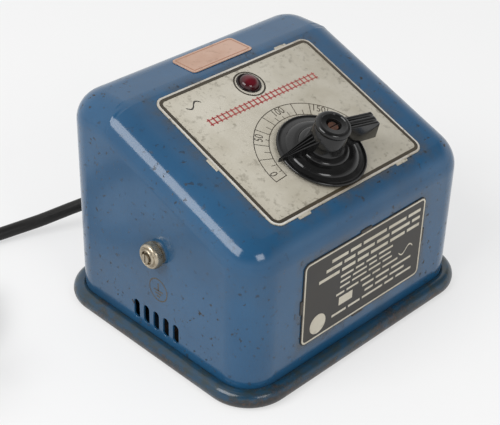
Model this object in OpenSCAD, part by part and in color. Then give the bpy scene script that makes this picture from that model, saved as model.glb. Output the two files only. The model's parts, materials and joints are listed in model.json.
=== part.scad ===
// Train set controller: a mains transformer in a deep-drawn steel case, with a
// speed regulator that sweeps a roller over the bared turns of its own winding.
// X runs to the right, Y to the back and Z up; the origin is on the floor,
// under the middle of the case.

/* [Case] */
// Width of the case, outside
body_w = 130; // [120:1:150]
// Depth of the case, outside
body_d = 108.2; // [106:0.1:125]
// Height of the flat at the back of the roof
body_h = 99.5; // [96:0.5:115]
// Depth of the flat roof, from the back to where it would meet the slope
roof_l = 26.6; // [25:0.1:30]
// Angle of the sloping panel
slope_deg = 20.68; // [18:0.01:22]
// Radius of the upright corners
corner_r = 14.5; // [13.5:0.5:17]
// Radius of the edges round the roof
edge_r = 12.6; // [10:0.1:13]
// Thickness of the case sheet
sheet = 1; // [0.8:0.1:1.4]

/* [Base pan] */
// Thickness of the pan sheet
pan_sheet = 1.2; // [1:0.1:1.6]
// Height of the underside of the pan's floor
pan_lift = 2.4; // [2.2:0.1:3]
// Reach of the rolled bead beyond the case
bead_reach = 5.3; // [5:0.1:7]
// Height of the top of the bead
bead_h = 7.8; // [7:0.1:9]
// Thickness of the bead's wall
bead_wall = 1; // [0.8:0.1:1.2]

/* [Case vents] */
// Number of slots on each side
vent_count = 5; // [3:1:5]
// Distance from slot to slot
vent_pitch = 5.9; // [5:0.1:6]
// Width of a slot
vent_w = 3; // [2:0.1:3.5]
// Length of a slot
vent_len = 8.9; // [6:0.1:10]
// Height of the lower end of a slot
vent_z = 12; // [10:0.5:14]
// Place of the middle slot behind the middle of the case
vent_y = -2.6; // [-4:0.1:4]

/* [Plates] */
// Thickness of the printed plates
plate_t = 0.5; // [0.4:0.1:0.8]
// Width of the dial plate
dial_w = 87.6; // [80:0.2:92]
// Height of the dial plate along the slope
dial_h = 73.6; // [66:0.2:76]
// Distance from the front fold up to the dial plate
dial_s = 9.3; // [9:0.1:11]
// Corner radius of the dial plate
dial_r = 4.5; // [3:0.5:8]
// Width of the data plate
data_w = 73.6; // [60:0.2:90]
// Height of the data plate
data_h = 39.5; // [30:0.5:40]
// Height of the lower edge of the data plate
data_z = 17; // [12:0.5:17]
// Corner radius of the data plate
data_r = 3; // [2:0.5:6]
// Width of the tag on the roof
tag_w = 34; // [24:0.5:44]
// Depth of the tag on the roof
tag_d = 14.4; // [10:0.2:15]
// Width of a bent tab
tab_w = 6.4; // [4:0.2:8]

/* [Knob] */
// Distance of the knob's axis from the front fold, along the slope
knob_s = 29; // [28:0.5:33]
// Radius of the knob's skirt
skirt_r = 19; // [17:0.5:20]
// Gap between the skirt and the dial plate
knob_gap = 1.1; // [1:0.05:1.6]
// Height of the knob above the dial plate
knob_h = 17.2; // [16.5:0.1:20]
// Radius of the cap on the knob
cap_r = 7.3; // [7:0.1:7.8]
// Reach of the pointer
pointer_reach = 20.8; // [20:0.1:22]
// Reach of the grip opposite the pointer
grip_reach = 23.2; // [20:0.1:25]
// Thickness of the grip
grip_w = 5; // [4:0.1:6]
// Angle of the pointer as photographed
pointer_deg = 167.5; // [160:0.5:175]

/* [Regulator] */
// Radius of the shaft
shaft_r = 3; // [2.8:0.1:3.3]
// Radius of the hub's tube round the shaft
hub_r = 4.2; // [4.1:0.1:4.4]
// Running clearance of the shaft and the hub
run_gap = 0.05; // [0.03:0.01:0.08]
// Radius of the thread of the bush
bush_r = 5.6; // [5.5:0.1:5.9]
// Distance from the slope down to the top of the bridge
bridge_drop = 6; // [6:0.1:6.6]
// Thickness of the insulating bridge
bridge_t = 2; // [1.5:0.1:2.2]
// Radius of the roller's track on the winding
track_r = 14.5; // [13:0.1:15]
// Radius of the carbon roller
roller_r = 2.3; // [2:0.1:2.5]
// Width of the carbon roller
roller_w = 4; // [3:0.1:4.4]
// Gap between the roller and the bared turns
roller_gap = 0.2; // [0.1:0.05:0.4]

/* [Transformer] */
// Length of the laminations across the case
core_w = 65; // [64:1:66]
// Length of the laminations up the slope
core_l = 78; // [76:1:79]
// Height of the core's lowest edge above the pan
core_clear = 9.67; // [9:0.01:12]
// Width of the middle leg
leg_w = 26; // [25:1:27]
// Width of the outer legs and of the yokes
yoke_w = 13; // [12:0.5:13.5]
// Distance from the slope down to the stack
core_drop = 33; // [33:0.5:34]
// Distance of the core's middle up the slope from the knob
core_up = 12; // [11:0.5:12.5]
// Outer size of the winding up the slope
coil_w = 51; // [48:0.5:51]
// Diameter of the bared wire
wire_d = 0.95; // [0.8:0.05:1.1]

/* [Lamp] */
// Distance of the lamp from the front fold, along the slope
lamp_s = 72.2; // [70:0.2:73]
// Radius of the lens
lens_r = 5.4; // [4.5:0.1:5.6]
// Height of the lens above the dial plate
lens_h = 3; // [2:0.1:4]

/* [Terminals] */
// Radius of the bore of an output socket
socket_r = 1.3; // [1.2:0.05:1.6]
// Depth of the bore of an output socket
socket_depth = 8; // [6:0.5:8.5]
// Distance from socket to socket
socket_pitch = 14; // [12:0.5:15]
// Radius of the earth screw
earth_r = 2; // [1.8:0.1:2.2]
// Radius of the earth nut
nut_r = 5.5; // [5:0.1:6]
// Height of the earth screw's axis
earth_z = 49.7; // [46:0.1:52]

/* [Cord] */
// Diameter of the mains cord
cord_d = 6; // [6:0.1:6.2]
// Distance of the cord's exit from the middle of the back
cord_x = -20; // [-20:1:-20]

/* [Hidden] */
$fn = 48;
eps = 0.01;

paint = "steelblue";
steel = "silver";
brass_c = "goldenrod";
bakelite = [0.1, 0.09, 0.09];
rubber_c = [0.16, 0.16, 0.17];

// Places on the slope: u runs up it from the knob's axis and h stands off it.
front_h = body_h - (body_d - roof_l)*tan(slope_deg);
knob_y = -body_d/2 + knob_s*cos(slope_deg);
knob_z = front_h + knob_s*sin(slope_deg);
function slope_y(u, h) = knob_y + u*cos(slope_deg) - h*sin(slope_deg);
function slope_z(u, h) = knob_z + u*sin(slope_deg) + h*cos(slope_deg);
pan_top = pan_lift + pan_sheet;
core_foot = knob_z + (core_up - core_l/2)*sin(slope_deg);
stack_h = (core_foot - pan_top - core_clear)/cos(slope_deg) - core_drop;
inner_x = body_w/2 - sheet;

module on_slope(u = 0, h = 0) {
    translate([0, slope_y(u, h), slope_z(u, h)]) rotate([slope_deg, 0, 0]) children();
}

module on_left(y, z) {
    translate([-body_w/2, y, z]) rotate([0, -90, 0]) children();
}

module on_back(x, z) {
    translate([x, body_d/2, z]) rotate([-90, 0, 0]) children();
}

module at_pointer() {
    rotate([0, 0, pointer_deg]) children();
}

module mirrored(dir) {
    children();
    mirror(dir) children();
}

module rounded_rect(w, l, r) {
    square([w - 2*r, l], center = true);
    square([w, l - 2*r], center = true);
    for (x = [-1, 1], y = [-1, 1])
        translate([x*(w/2 - r), y*(l/2 - r)]) circle(r);
}

module ring(r_out, r_in, h) {
    difference() {
        cylinder(r = r_out, h = h);
        translate([0, 0, -eps]) cylinder(r = r_in, h = h + 2*eps);
    }
}

// A slotted screw that points down: the underside of its head is at z = 0.
module screw(r, len, head_r, head_h) {
    slot_w = 0.25*head_r;
    difference() {
        union() {
            cylinder(r = head_r, h = head_h);
            translate([0, 0, -len]) cylinder(r = r, h = len + eps);
        }
        translate([-head_r - eps, -slot_w/2, head_h/2]) cube([2*head_r + 2*eps, slot_w, head_h]);
    }
}

module hex_nut(flats, bore_r, h) {
    difference() {
        cylinder(d = flats/cos(30), h = h, $fn = 6);
        translate([0, 0, -eps]) cylinder(r = bore_r, h = h + 2*eps);
    }
}

// ---- Case ----

dial_mid = dial_s + dial_h/2 - knob_s;
lens_hole_r = lens_r + 0.15;
shaft_hole_r = 9.5;
earth_y = -2.5;
fit = 0.15;
tab_gap = 0.35;
data_y = -body_d/2;
tag_y = 35.2;
cord_z = 15;
boot_neck_r = 5.9;
strip_x = 22;
strip_z = 28;
strip_w = 52;
strip_h = 16;
strip_t = 10;
socket_tail_r = 2;
case_foot = pan_top;

// A corner of the roof: an upright corner whose rim is rounded over.
module corner_puck(inset) {
    rotate_extrude($fn = 20) intersection() {
        translate([corner_r - edge_r, 0]) circle(edge_r - inset, $fn = 20);
        translate([0, -edge_r]) square([corner_r, 2*edge_r]);
    }
}

module case_form(inset, foot) {
    cx = body_w/2 - corner_r;
    cy = body_d/2 - corner_r;
    roof_z = body_h - edge_r;
    fold_z = front_h - edge_r*(1 - sin(slope_deg))/cos(slope_deg);
    ridge = (body_d/2)*sin(slope_deg) + front_h*cos(slope_deg);
    fold_y = (roof_z*cos(slope_deg) + edge_r + (corner_r - edge_r)*sin(slope_deg) - ridge)/sin(slope_deg);
    hull() for (x = [-cx, cx]) {
        for (y = [-cy, cy])
            translate([x, y, foot]) cylinder(r = corner_r - inset, h = 1, $fn = 20);
        translate([x, -cy, fold_z]) corner_puck(inset);
        translate([x, fold_y, roof_z]) corner_puck(inset);
        translate([x, cy, roof_z]) corner_puck(inset);
    }
}

// The slots of both sides, as bars that run right across the case.
module vent_bars() {
    straight = vent_len - vent_w;
    translate([-body_w, vent_y, vent_z + vent_len/2]) rotate([90, 0, 90]) linear_extrude(2*body_w)
        for (i = [0:vent_count - 1])
            translate([(i - (vent_count - 1)/2)*vent_pitch, 0]) {
                square([vent_w, straight], center = true);
                for (z = [-1, 1]) translate([0, z*straight/2]) circle(d = vent_w);
            }
}

module housing() {
    color(paint) difference() {
        case_form(0, case_foot);
        case_form(sheet, case_foot - 2);
        vent_bars();
        on_slope(0, -4*sheet) cylinder(r = shaft_hole_r, h = 8*sheet);
        on_slope(lamp_s - knob_s, -4*sheet) cylinder(r = lens_hole_r, h = 8*sheet);
        on_slope(dial_mid, 0) dial_tabs(tab_gap);
        translate([0, data_y, data_z + data_h/2]) rotate([90, 0, 0]) data_tabs(tab_gap);
        translate([0, tag_y, body_h]) tag_tabs(tab_gap);
        on_left(earth_y, earth_z) translate([0, 0, -4*sheet]) cylinder(r = earth_r + fit, h = 8*sheet);
        on_back(cord_x, cord_z) translate([0, 0, -4*sheet]) cylinder(r = boot_neck_r + run_gap, h = 8*sheet);
        for (i = [-1:1])
            on_back(strip_x + i*socket_pitch, strip_z) translate([0, 0, -4*sheet])
                cylinder(r = socket_tail_r + 1, h = 8*sheet);
        for (i = [-1, 1])
            on_back(strip_x + i*(strip_w/2 - 4), strip_z) translate([0, 0, -4*sheet])
                cylinder(r = 1.5 + fit, h = 8*sheet);
    }
}

// ---- Base pan ----

pan_gap = 0.1;
bead_r = (bead_reach - pan_gap)/2;
bead_z = bead_h - bead_r;
bracket_y = 33;
bracket_w = 12;
bracket_t = 1.5;
bracket_len = 12;
base_screw_x = inner_x - bracket_len/2 - 1;

// Section of the pan's edge: x = 0 is the outside of the case.
module pan_edge() {
    mid = pan_gap + bead_r;
    translate([-4, pan_lift]) square([4 + pan_gap + bead_wall, pan_sheet]);
    translate([pan_gap, pan_lift]) square([bead_wall, bead_z - pan_lift]);
    translate([bead_reach - bead_wall, 0]) square([bead_wall, bead_z]);
    intersection() {
        translate([mid, bead_z]) difference() {
            circle(bead_r);
            circle(bead_r - bead_wall);
        }
        translate([0, bead_z - eps]) square([bead_reach + 1, bead_r + 1]);
    }
}

module base_pan() {
    cx = body_w/2 - corner_r;
    cy = body_d/2 - corner_r;
    color(paint) difference() {
        union() {
            for (x = [0, 1], y = [0, 1])
                mirror([x, 0, 0]) mirror([0, y, 0]) translate([cx, cy, 0])
                    rotate_extrude(angle = 90) translate([corner_r, 0]) pan_edge();
            mirrored([1, 0, 0]) translate([body_w/2, cy, 0]) rotate([90, 0, 0])
                linear_extrude(2*cy) pan_edge();
            mirrored([0, 1, 0]) translate([-cx, body_d/2, 0]) rotate([90, 0, 90])
                linear_extrude(2*cx) pan_edge();
            translate([0, 0, pan_lift]) linear_extrude(pan_sheet)
                rounded_rect(body_w - 4, body_d - 4, corner_r - 2);
        }
        for (x = [-1, 1], y = [-1, 1])
            translate([x*base_screw_x, y*bracket_y, 0]) cylinder(r = 1.6 + fit, h = 2*pan_top);
        for (x = [-1, 1], y = cradle_screw_y)
            translate([x*cradle_screw_x, y, 0]) cylinder(r = 1.5 + fit, h = 2*pan_top);
        for (i = [-3:3])
            translate([i*6, 0, pan_lift + pan_sheet/2]) rotate([0, 90, 90])
                translate([0, 0, -14]) linear_extrude(28) square([2*pan_sheet, 2.6], center = true);
    }
}

module corner_brackets() {
    color(steel) mirrored([1, 0, 0]) mirrored([0, 1, 0])
        translate([inner_x, bracket_y, pan_top]) rotate([90, 0, 0])
        translate([0, 0, -bracket_w/2]) difference() {
            union() {
                translate([-bracket_len, 0, 0]) cube([bracket_len, bracket_t, bracket_w]);
                translate([-bracket_t, 0, 0]) cube([bracket_t, bracket_len, bracket_w]);
                translate([base_screw_x - inner_x, 0, bracket_w/2]) rotate([-90, 0, 0])
                    cylinder(r = 3.5, h = 2*bracket_t);
            }
            translate([base_screw_x - inner_x, -eps, bracket_w/2]) rotate([-90, 0, 0])
                cylinder(r = 1.6 + run_gap, h = 4*bracket_t);
        }
}

module base_screws() {
    color(steel) for (x = [-1, 1], y = [-1, 1])
        translate([x*base_screw_x, y*bracket_y, pan_lift]) mirror([0, 0, 1])
            screw(1.6, pan_sheet + 3*bracket_t, 3, 1.6);
}

// ---- Printed plates ----

tab_side_y = dial_s + dial_h/2 - 45.5;
tag_tab_x = tag_w/2 - 4;

// One tab that leaves the plate's edge at x = 0, goes through its slit and is
// folded back under the sheet. A gap of zero gives the tab itself.
module tab(gap) {
    reach = 2*plate_t;
    if (gap > 0) {
        translate([plate_t - gap, -tab_w/2 - gap, -2*sheet]) cube([plate_t + 2*gap, tab_w + 2*gap, 4*sheet]);
    } else {
        translate([-plate_t, -tab_w/2, 0]) cube([reach + plate_t, tab_w, plate_t]);
        translate([plate_t, -tab_w/2, -sheet - plate_t]) cube([plate_t, tab_w, sheet + 2*plate_t]);
        translate([-1.5, -tab_w/2, -sheet - plate_t]) cube([reach + 1.5, tab_w, plate_t]);
    }
}

module dial_tabs(gap) {
    translate([28.7, dial_h/2, 0]) rotate([0, 0, 90]) tab(gap);
    for (x = [-28.8, 28.8])
        translate([x, -dial_h/2, 0]) rotate([0, 0, -90]) tab(gap);
    translate([-dial_w/2, -tab_side_y, 0]) rotate([0, 0, 180]) tab(gap);
}

module data_tabs(gap) {
    translate([-1, data_h/2, 0]) rotate([0, 0, 90]) tab(gap);
    translate([-2.3, -data_h/2, 0]) rotate([0, 0, -90]) tab(gap);
    mirrored([1, 0, 0]) translate([data_w/2, 0, 0]) tab(gap);
}

// The tag's lugs go straight down from under its ends.
module tag_tabs(gap) {
    for (x = [-1, 1]) {
        translate([x*tag_tab_x - plate_t/2 - gap, -2 - gap, -sheet - plate_t - gap])
            cube([plate_t + 2*gap, 4 + 2*gap, sheet + plate_t + eps + gap]);
        if (gap == 0)
            translate([x*(tag_tab_x + 0.75 - plate_t/2) - 0.75, -2, -sheet - plate_t])
                cube([1.5, 4, plate_t]);
    }
}

module dial_plate() {
    color([0.8, 0.77, 0.7]) on_slope(dial_mid, 0) {
        linear_extrude(plate_t) difference() {
            rounded_rect(dial_w, dial_h, dial_r);
            translate([0, -dial_mid]) circle(shaft_hole_r);
            translate([0, lamp_s - knob_s - dial_mid]) circle(lens_hole_r);
        }
        dial_tabs(0);
    }
}

module data_plate() {
    color([0.2, 0.19, 0.17]) translate([0, data_y, data_z + data_h/2]) rotate([90, 0, 0]) {
        linear_extrude(plate_t) rounded_rect(data_w, data_h, data_r);
        data_tabs(0);
    }
}

module number_tag() {
    color([0.85, 0.72, 0.64]) translate([0, tag_y, body_h]) {
        linear_extrude(plate_t) rounded_rect(tag_w, tag_d, 2);
        tag_tabs(0);
    }
}

// ---- Knob ----

knob_foot = plate_t + knob_gap;
knob_top = plate_t + knob_h;
cap_h = 2.9;
neck_r = 6.7;
neck_foot_r = 8.6;
recess_r = 2.4;
recess_h = 3.2;
shaft_top = knob_top - recess_h - 2;
flat_depth = 0.6;

// Half section of the skirt, the neck and the cap.
module knob_section() {
    lip = skirt_r - 0.8;
    brow = 0.85*skirt_r;
    dip = (brow + neck_foot_r)/2 + 0.6;
    step = knob_foot + 1.9;
    polygon(concat(
        [[0, knob_foot + 2], [skirt_r - 2, knob_foot + 2], [skirt_r - 1.2, knob_foot], [skirt_r, knob_foot]],
        [for (a = [0:15:90]) [lip + 0.8*cos(a), knob_foot + 1 + 0.8*sin(a)]],
        [[lip - 0.4, knob_foot + 1.5]],
        [for (a = [0:15:90]) [dip + (lip - 0.8 - dip)*cos(a), step - 0.2 + 1.7*sin(a)]],
        [for (a = [0:15:90]) [neck_foot_r + (dip - 0.3 - neck_foot_r)*cos(a), step + 1.2 + 1.3*sin(a)]],
        [[neck_foot_r - 0.3, step + 3.2], [neck_r + 0.7, knob_foot + 9], [neck_r, knob_top - cap_h]],
        [for (a = [-90:15:90]) [cap_r - 0.9 + 0.9*cos(a), knob_top - cap_h + 0.9 + 0.9*sin(a)]],
        [[cap_r - 2, knob_top], [0, knob_top]]
    ));
}

// Pointer and grip, from the side: x runs outwards and y is the height.
module pointer_side() {
    polygon([
        [0, knob_foot + 1.9], [skirt_r - 3, knob_foot + 1.9], [skirt_r - 1, knob_foot + 0.2],
        [pointer_reach, knob_foot + 0.1], [pointer_reach, knob_foot + 3.6],
        [pointer_reach - 1.4, knob_foot + 5.6], [neck_r, knob_foot + 11], [0, knob_foot + 11]
    ]);
}

module grip_side() {
    polygon(concat(
        [[0, knob_foot + 2], [9, knob_foot + 2]],
        [for (a = [0:15:75]) [9 + 6*sin(a), knob_foot + 5.6 - 3*cos(a)]],
        [[grip_reach, knob_foot + 5.4], [grip_reach - 1.8, knob_foot + 13.6],
         [grip_reach - 2.8, knob_foot + 14.2], [0, knob_foot + 14.2]]
    ));
}

module upright(w) {
    rotate([90, 0, 0]) translate([0, 0, -w/2]) linear_extrude(w) children();
}

module pointer() {
    half = grip_w/2;
    intersection() {
        upright(2*grip_w) pointer_side();
        linear_extrude(knob_top) polygon([
            [0, half], [neck_r + 2, half], [pointer_reach, 0.15],
            [pointer_reach, -0.15], [neck_r + 2, -half], [0, -half]
        ]);
    }
}

// Shallow flutes along the top of the grip.
module flutes() {
    for (i = [-1:1])
        translate([neck_r, i*1.35, knob_foot + 14.2]) rotate([0, 90, 0])
            cylinder(r = 0.4, h = grip_reach, $fn = 16);
}

module knob() {
    color(bakelite) on_slope() at_pointer() difference() {
        union() {
            rotate_extrude($fn = 64) knob_section();
            pointer();
            rotate([0, 0, 180]) upright(grip_w) grip_side();
        }
        rotate([0, 0, 180]) flutes();
        translate([0, 0, knob_top - recess_h]) cylinder(r = recess_r, h = recess_h + 1);
        translate([0, 0, shaft_top - eps]) cylinder(r = 1.5, h = recess_h);
        shaft_form(knob_foot + 1, shaft_top, run_gap);
    }
}

module knob_screw() {
    color("saddlebrown") on_slope() translate([0, 0, knob_top - recess_h])
        screw(1.3, 8, recess_r - 0.2, 1.6);
}

// ---- Regulator ----

hub_bottom = -bridge_drop - bridge_t - 6.4;
hub_flange = 3;
hub_top = 0;
bush_flange = 1.6;
bush_bottom = -bridge_drop - bridge_t - bush_flange;
bush_top = -bridge_drop + 4;
clip_t = 0.8;
arm_t = 0.6;
arm_w = 7;
leaf_gap = 0.3;
winding_rise = (coil_w - leg_w)/2;
winding_top = -core_drop + winding_rise;
roller_h = winding_top + roller_r + roller_gap;
pin_r = 0.8;
cheek_t = 0.6;
cheek_in = track_r - roller_w/2 - 0.3 - cheek_t;
cheek_out = track_r + roller_w/2 + 0.3;
shaft_bottom = hub_bottom - arm_t - 1.2;
stop_r = 12.5;
stop_pin_r = 1.2;
lug_r = 14;
lug_half = 2;
stop_low = -165;
stop_high = 11;

// A round bar with one flat, which the hub and the knob share.
module shaft_form(from, to, gap) {
    translate([0, 0, from]) linear_extrude(to - from) difference() {
        circle(shaft_r + gap);
        translate([-2*shaft_r, shaft_r - flat_depth + gap]) square([4*shaft_r, shaft_r]);
    }
}

module regulator_shaft() {
    color(steel) on_slope() at_pointer() difference() {
        shaft_form(shaft_bottom, shaft_top, 0);
        translate([0, 0, knob_top - recess_h - 8.5]) cylinder(r = 1.3 + run_gap, h = 10);
    }
}

module wiper_hub() {
    color(bakelite) on_slope() at_pointer() difference() {
        union() {
            translate([0, 0, hub_bottom]) cylinder(r = hub_r, h = hub_top - hub_bottom);
            translate([0, 0, hub_bottom]) cylinder(r = 8, h = hub_flange);
            translate([0, -lug_half, hub_bottom]) cube([lug_r, 2*lug_half, hub_flange]);
        }
        shaft_form(hub_bottom - 1, hub_top + 1, run_gap);
        translate([0, 0, hub_top - 2*clip_t]) ring(hub_r + 1, hub_r - 0.5, clip_t + 0.1);
    }
}

module hub_clip() {
    color(steel) on_slope() translate([0, 0, hub_top - 2*clip_t + 0.05])
        ring(hub_r + 1.6, hub_r - 0.45, clip_t);
}

module wiper_arm() {
    cheek_drop = hub_bottom - arm_t/2 - roller_h + pin_r + 0.8;
    color("peru") on_slope() at_pointer() difference() {
        union() {
            translate([0, 0, hub_bottom - arm_t]) cylinder(r = 7, h = arm_t);
            translate([0, -arm_w/2, hub_bottom - arm_t]) cube([cheek_out + cheek_t, arm_w, arm_t]);
            for (x = [cheek_in, cheek_out])
                translate([x, -arm_w/2, hub_bottom - cheek_drop]) cube([cheek_t, arm_w, cheek_drop - eps]);
        }
        shaft_form(hub_bottom - 2, hub_bottom + 1, 4*run_gap);
        translate([0, 0, roller_h]) rotate([0, 90, 0]) cylinder(r = pin_r + 0.02, h = 2*track_r);
    }
}

module roller_pin() {
    color(steel) on_slope() at_pointer() translate([cheek_in - 0.5, 0, roller_h]) rotate([0, 90, 0])
        cylinder(r = pin_r, h = cheek_out - cheek_in + cheek_t + 1);
}

module contact_roller() {
    color([0.2, 0.2, 0.2]) on_slope() at_pointer()
        translate([track_r - roller_w/2, 0, roller_h]) rotate([0, 90, 0])
        ring(roller_r, pin_r + run_gap, roller_w);
}

module shaft_bush() {
    color(brass_c) on_slope() difference() {
        union() {
            translate([0, 0, bush_bottom]) cylinder(r = 8, h = bush_flange);
            translate([0, 0, bush_bottom]) cylinder(r = bush_r, h = bush_top - bush_bottom);
        }
        translate([0, 0, bush_bottom - 1]) cylinder(r = hub_r + run_gap, h = 20);
    }
}

module bush_nut() {
    color(brass_c) on_slope(0, -bridge_drop) hex_nut(15, bush_r + run_gap, 2.6);
}

bolt_x = core_w/2 - yoke_w/2;
bolt_u = core_l/2 - yoke_w/2;
bolt_r = 1.95;

module at_bolts() {
    for (x = [-bolt_x, bolt_x], u = [-bolt_u, bolt_u])
        on_slope(core_up + u, 0) translate([x, 0, 0]) children();
}

lamp_notch_r = 10;
leaf_x = 15;
leaf_t = 0.4;
leaf_h = shaft_bottom - leaf_gap - leaf_t;
leaf_spacer_t = 1.7;

// The push contact's strips run down the slope, where the wiper never comes.
module at_leaf(h = 0) {
    on_slope(0, h) rotate([0, 0, -90]) children();
}

module bridge() {
    color([0.45, 0.3, 0.16]) on_slope(core_up, -bridge_drop - bridge_t) difference() {
        linear_extrude(bridge_t) difference() {
            rounded_rect(core_w - 4, core_l - 4, 4);
            translate([0, lamp_s - knob_s - core_up]) circle(lamp_notch_r);
            translate([-lamp_notch_r, lamp_s - knob_s - core_up]) square([2*lamp_notch_r, core_l]);
            translate([0, -core_up]) circle(bush_r + fit);
            for (x = [-bolt_x, bolt_x], u = [-bolt_u, bolt_u])
                translate([x, u]) circle(bolt_r + fit);
            for (a = [stop_low, stop_high])
                translate([0, -core_up]) rotate(pointer_deg + a + stop_side(a)) translate([stop_r, 0])
                    circle(stop_pin_r + run_gap);
            for (y = [-3.5, 3.5])
                translate([y, -core_up - leaf_x - 4]) circle(1.2 + fit);
        }
    }
}

// The pins stand a lug's half width and their own radius beyond each limit.
function stop_side(a) = sign(a)*asin((lug_half + stop_pin_r + 0.1)/stop_r);

module stop_pins() {
    color(steel) on_slope() for (a = [stop_low, stop_high])
        rotate(pointer_deg + a + stop_side(a)) translate([stop_r, 0, hub_bottom + 0.4])
            cylinder(r = stop_pin_r, h = -bridge_drop - hub_bottom - 0.4);
}

// ---- Push contact under the shaft ----

block_h = -bridge_drop - bridge_t - leaf_h - leaf_t;

module leaf_holes() {
    for (y = [-3.5, 3.5])
        translate([leaf_x + 4, y, -20]) cylinder(r = 1.2 + fit, h = 40);
}

module contact_leaf() {
    color("peru") at_leaf(leaf_h) difference() {
        union() {
            translate([-2, -2.5, 0]) cube([leaf_x + 8, 5, leaf_t]);
            translate([leaf_x + 0.5, -6, 0]) cube([7.5, 12, leaf_t]);
            translate([-1, 0, -0.5]) cylinder(r = 1, h = 0.5 + eps);
        }
        leaf_holes();
    }
}

// Insulation above and below the leaf's foot.
module leaf_block() {
    color([0.45, 0.3, 0.16]) at_leaf(leaf_h) difference() {
        union() {
            translate([leaf_x, -6, leaf_t + 0.3]) cube([8, 12, block_h - 0.3]);
            translate([leaf_x, -6, -leaf_spacer_t]) cube([8, 12, leaf_spacer_t - 0.3]);
        }
        leaf_holes();
    }
}

module leaf_screws() {
    color(steel) at_leaf(-bridge_drop) for (y = [-3.5, 3.5])
        translate([leaf_x + 4, y, 0]) screw(1.2, bridge_t + block_h + leaf_t + leaf_spacer_t + 1, 2.2, 1.2);
}

module fixed_contact() {
    color(brass_c) at_leaf(leaf_h - leaf_spacer_t - 0.6) difference() {
        union() {
            translate([-3, -2.5, 0]) cube([leaf_x + 4, 5, 0.6]);
            translate([leaf_x, -6, 0]) cube([8, 12, 0.6]);
        }
        leaf_holes();
    }
}

// ---- Transformer ----

window_l = core_w - 2*yoke_w;
bobbin_gap = 0.3;
bobbin_wall = 1;
flange_t = 1.2;
mid_h = -core_drop - stack_h/2;
wrap_in = leg_w/2 + bobbin_gap + bobbin_wall;
wrap_mid = wrap_in + 5.5;
wrap_out = coil_w/2 - wire_d;
rise = stack_h/2 - leg_w/2;

module on_core(h = 0) {
    on_slope(core_up, h) children();
}

// A wound ring round the middle leg: half is its half width up the slope.
module leg_ring(half_out, half_in, r, len) {
    on_core(mid_h) rotate([0, 90, 0]) translate([0, 0, -len/2]) linear_extrude(len) difference() {
        rounded_rect(2*(half_out + rise), 2*half_out, r);
        square([2*(half_in + rise), 2*half_in], center = true);
    }
}

module core_e() {
    color([0.35, 0.34, 0.33]) on_core(-core_drop - stack_h) difference() {
        translate([-core_w/2, -core_l/2, 0]) cube([core_w - yoke_w, core_l, stack_h]);
        for (u = [leg_w/2, -core_l/2 + yoke_w])
            translate([-window_l/2, u, -1]) cube([core_w, (core_l - leg_w)/2 - yoke_w, stack_h + 2]);
        for (u = [-bolt_u, bolt_u])
            translate([-bolt_x, u, -1]) cylinder(r = bolt_r + fit, h = stack_h + 2);
    }
}

module core_i() {
    color([0.4, 0.39, 0.38]) on_core(-core_drop - stack_h) difference() {
        translate([core_w/2 - yoke_w, -core_l/2, 0]) cube([yoke_w, core_l, stack_h]);
        for (u = [-bolt_u, bolt_u])
            translate([bolt_x, u, -1]) cylinder(r = bolt_r + fit, h = stack_h + 2);
    }
}

module bobbin() {
    color([0.75, 0.65, 0.45]) {
        leg_ring(wrap_in, leg_w/2 + bobbin_gap, 1.5, window_l - flange_t - 0.4);
        for (side = [-1, 1])
            translate([side*(window_l/2 - flange_t/2 - 0.2), 0, 0])
                leg_ring(wrap_out - 0.4, leg_w/2 + bobbin_gap, 2, flange_t);
    }
}

wound_l = window_l - 2*flange_t - 0.6;

module primary_winding() {
    color("chocolate") leg_ring(wrap_mid, wrap_in, 3, wound_l);
}

module secondary_winding() {
    color([0.55, 0.2, 0.1]) leg_ring(wrap_out, wrap_mid, 5, wound_l);
}

// The bared outer layer under the roller: wires that lie side by side.
module contact_track() {
    turns = floor(wound_l/wire_d);
    color("orange") on_slope(track_r/2 + 0.75, winding_top - wire_d/2) rotate([90, 0, 0])
        translate([0, 0, -track_r + 2.5]) linear_extrude(2*track_r - 5) {
            for (i = [0:turns - 1])
                translate([(i - (turns - 1)/2)*wire_d, 0]) circle(d = wire_d, $fn = 16);
            translate([-turns*wire_d/2 + wire_d/2, -wire_d/2]) square([(turns - 1)*wire_d, wire_d*0.6]);
        }
}

spacer_r = 3.6;

module bridge_spacers() {
    color(steel) at_bolts() translate([0, 0, -core_drop])
        ring(spacer_r, bolt_r + fit, core_drop - bridge_drop - bridge_t);
}

module core_bolts() {
    color(steel) at_bolts() translate([0, 0, -core_drop - stack_h - bracket_t]) mirror([0, 0, 1])
        screw(bolt_r, bracket_t + stack_h + core_drop - bridge_drop + 3.5, 3.5, 2.4);
}

module core_nuts() {
    color(steel) at_bolts() translate([0, 0, -bridge_drop]) hex_nut(7, bolt_r + run_gap, 2.8);
}

// The cradle carries the stack at the angle of the slope.
cradle_screw_x = core_w/2 + 4.5;
cradle_screw_y = [-18, 30];

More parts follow.
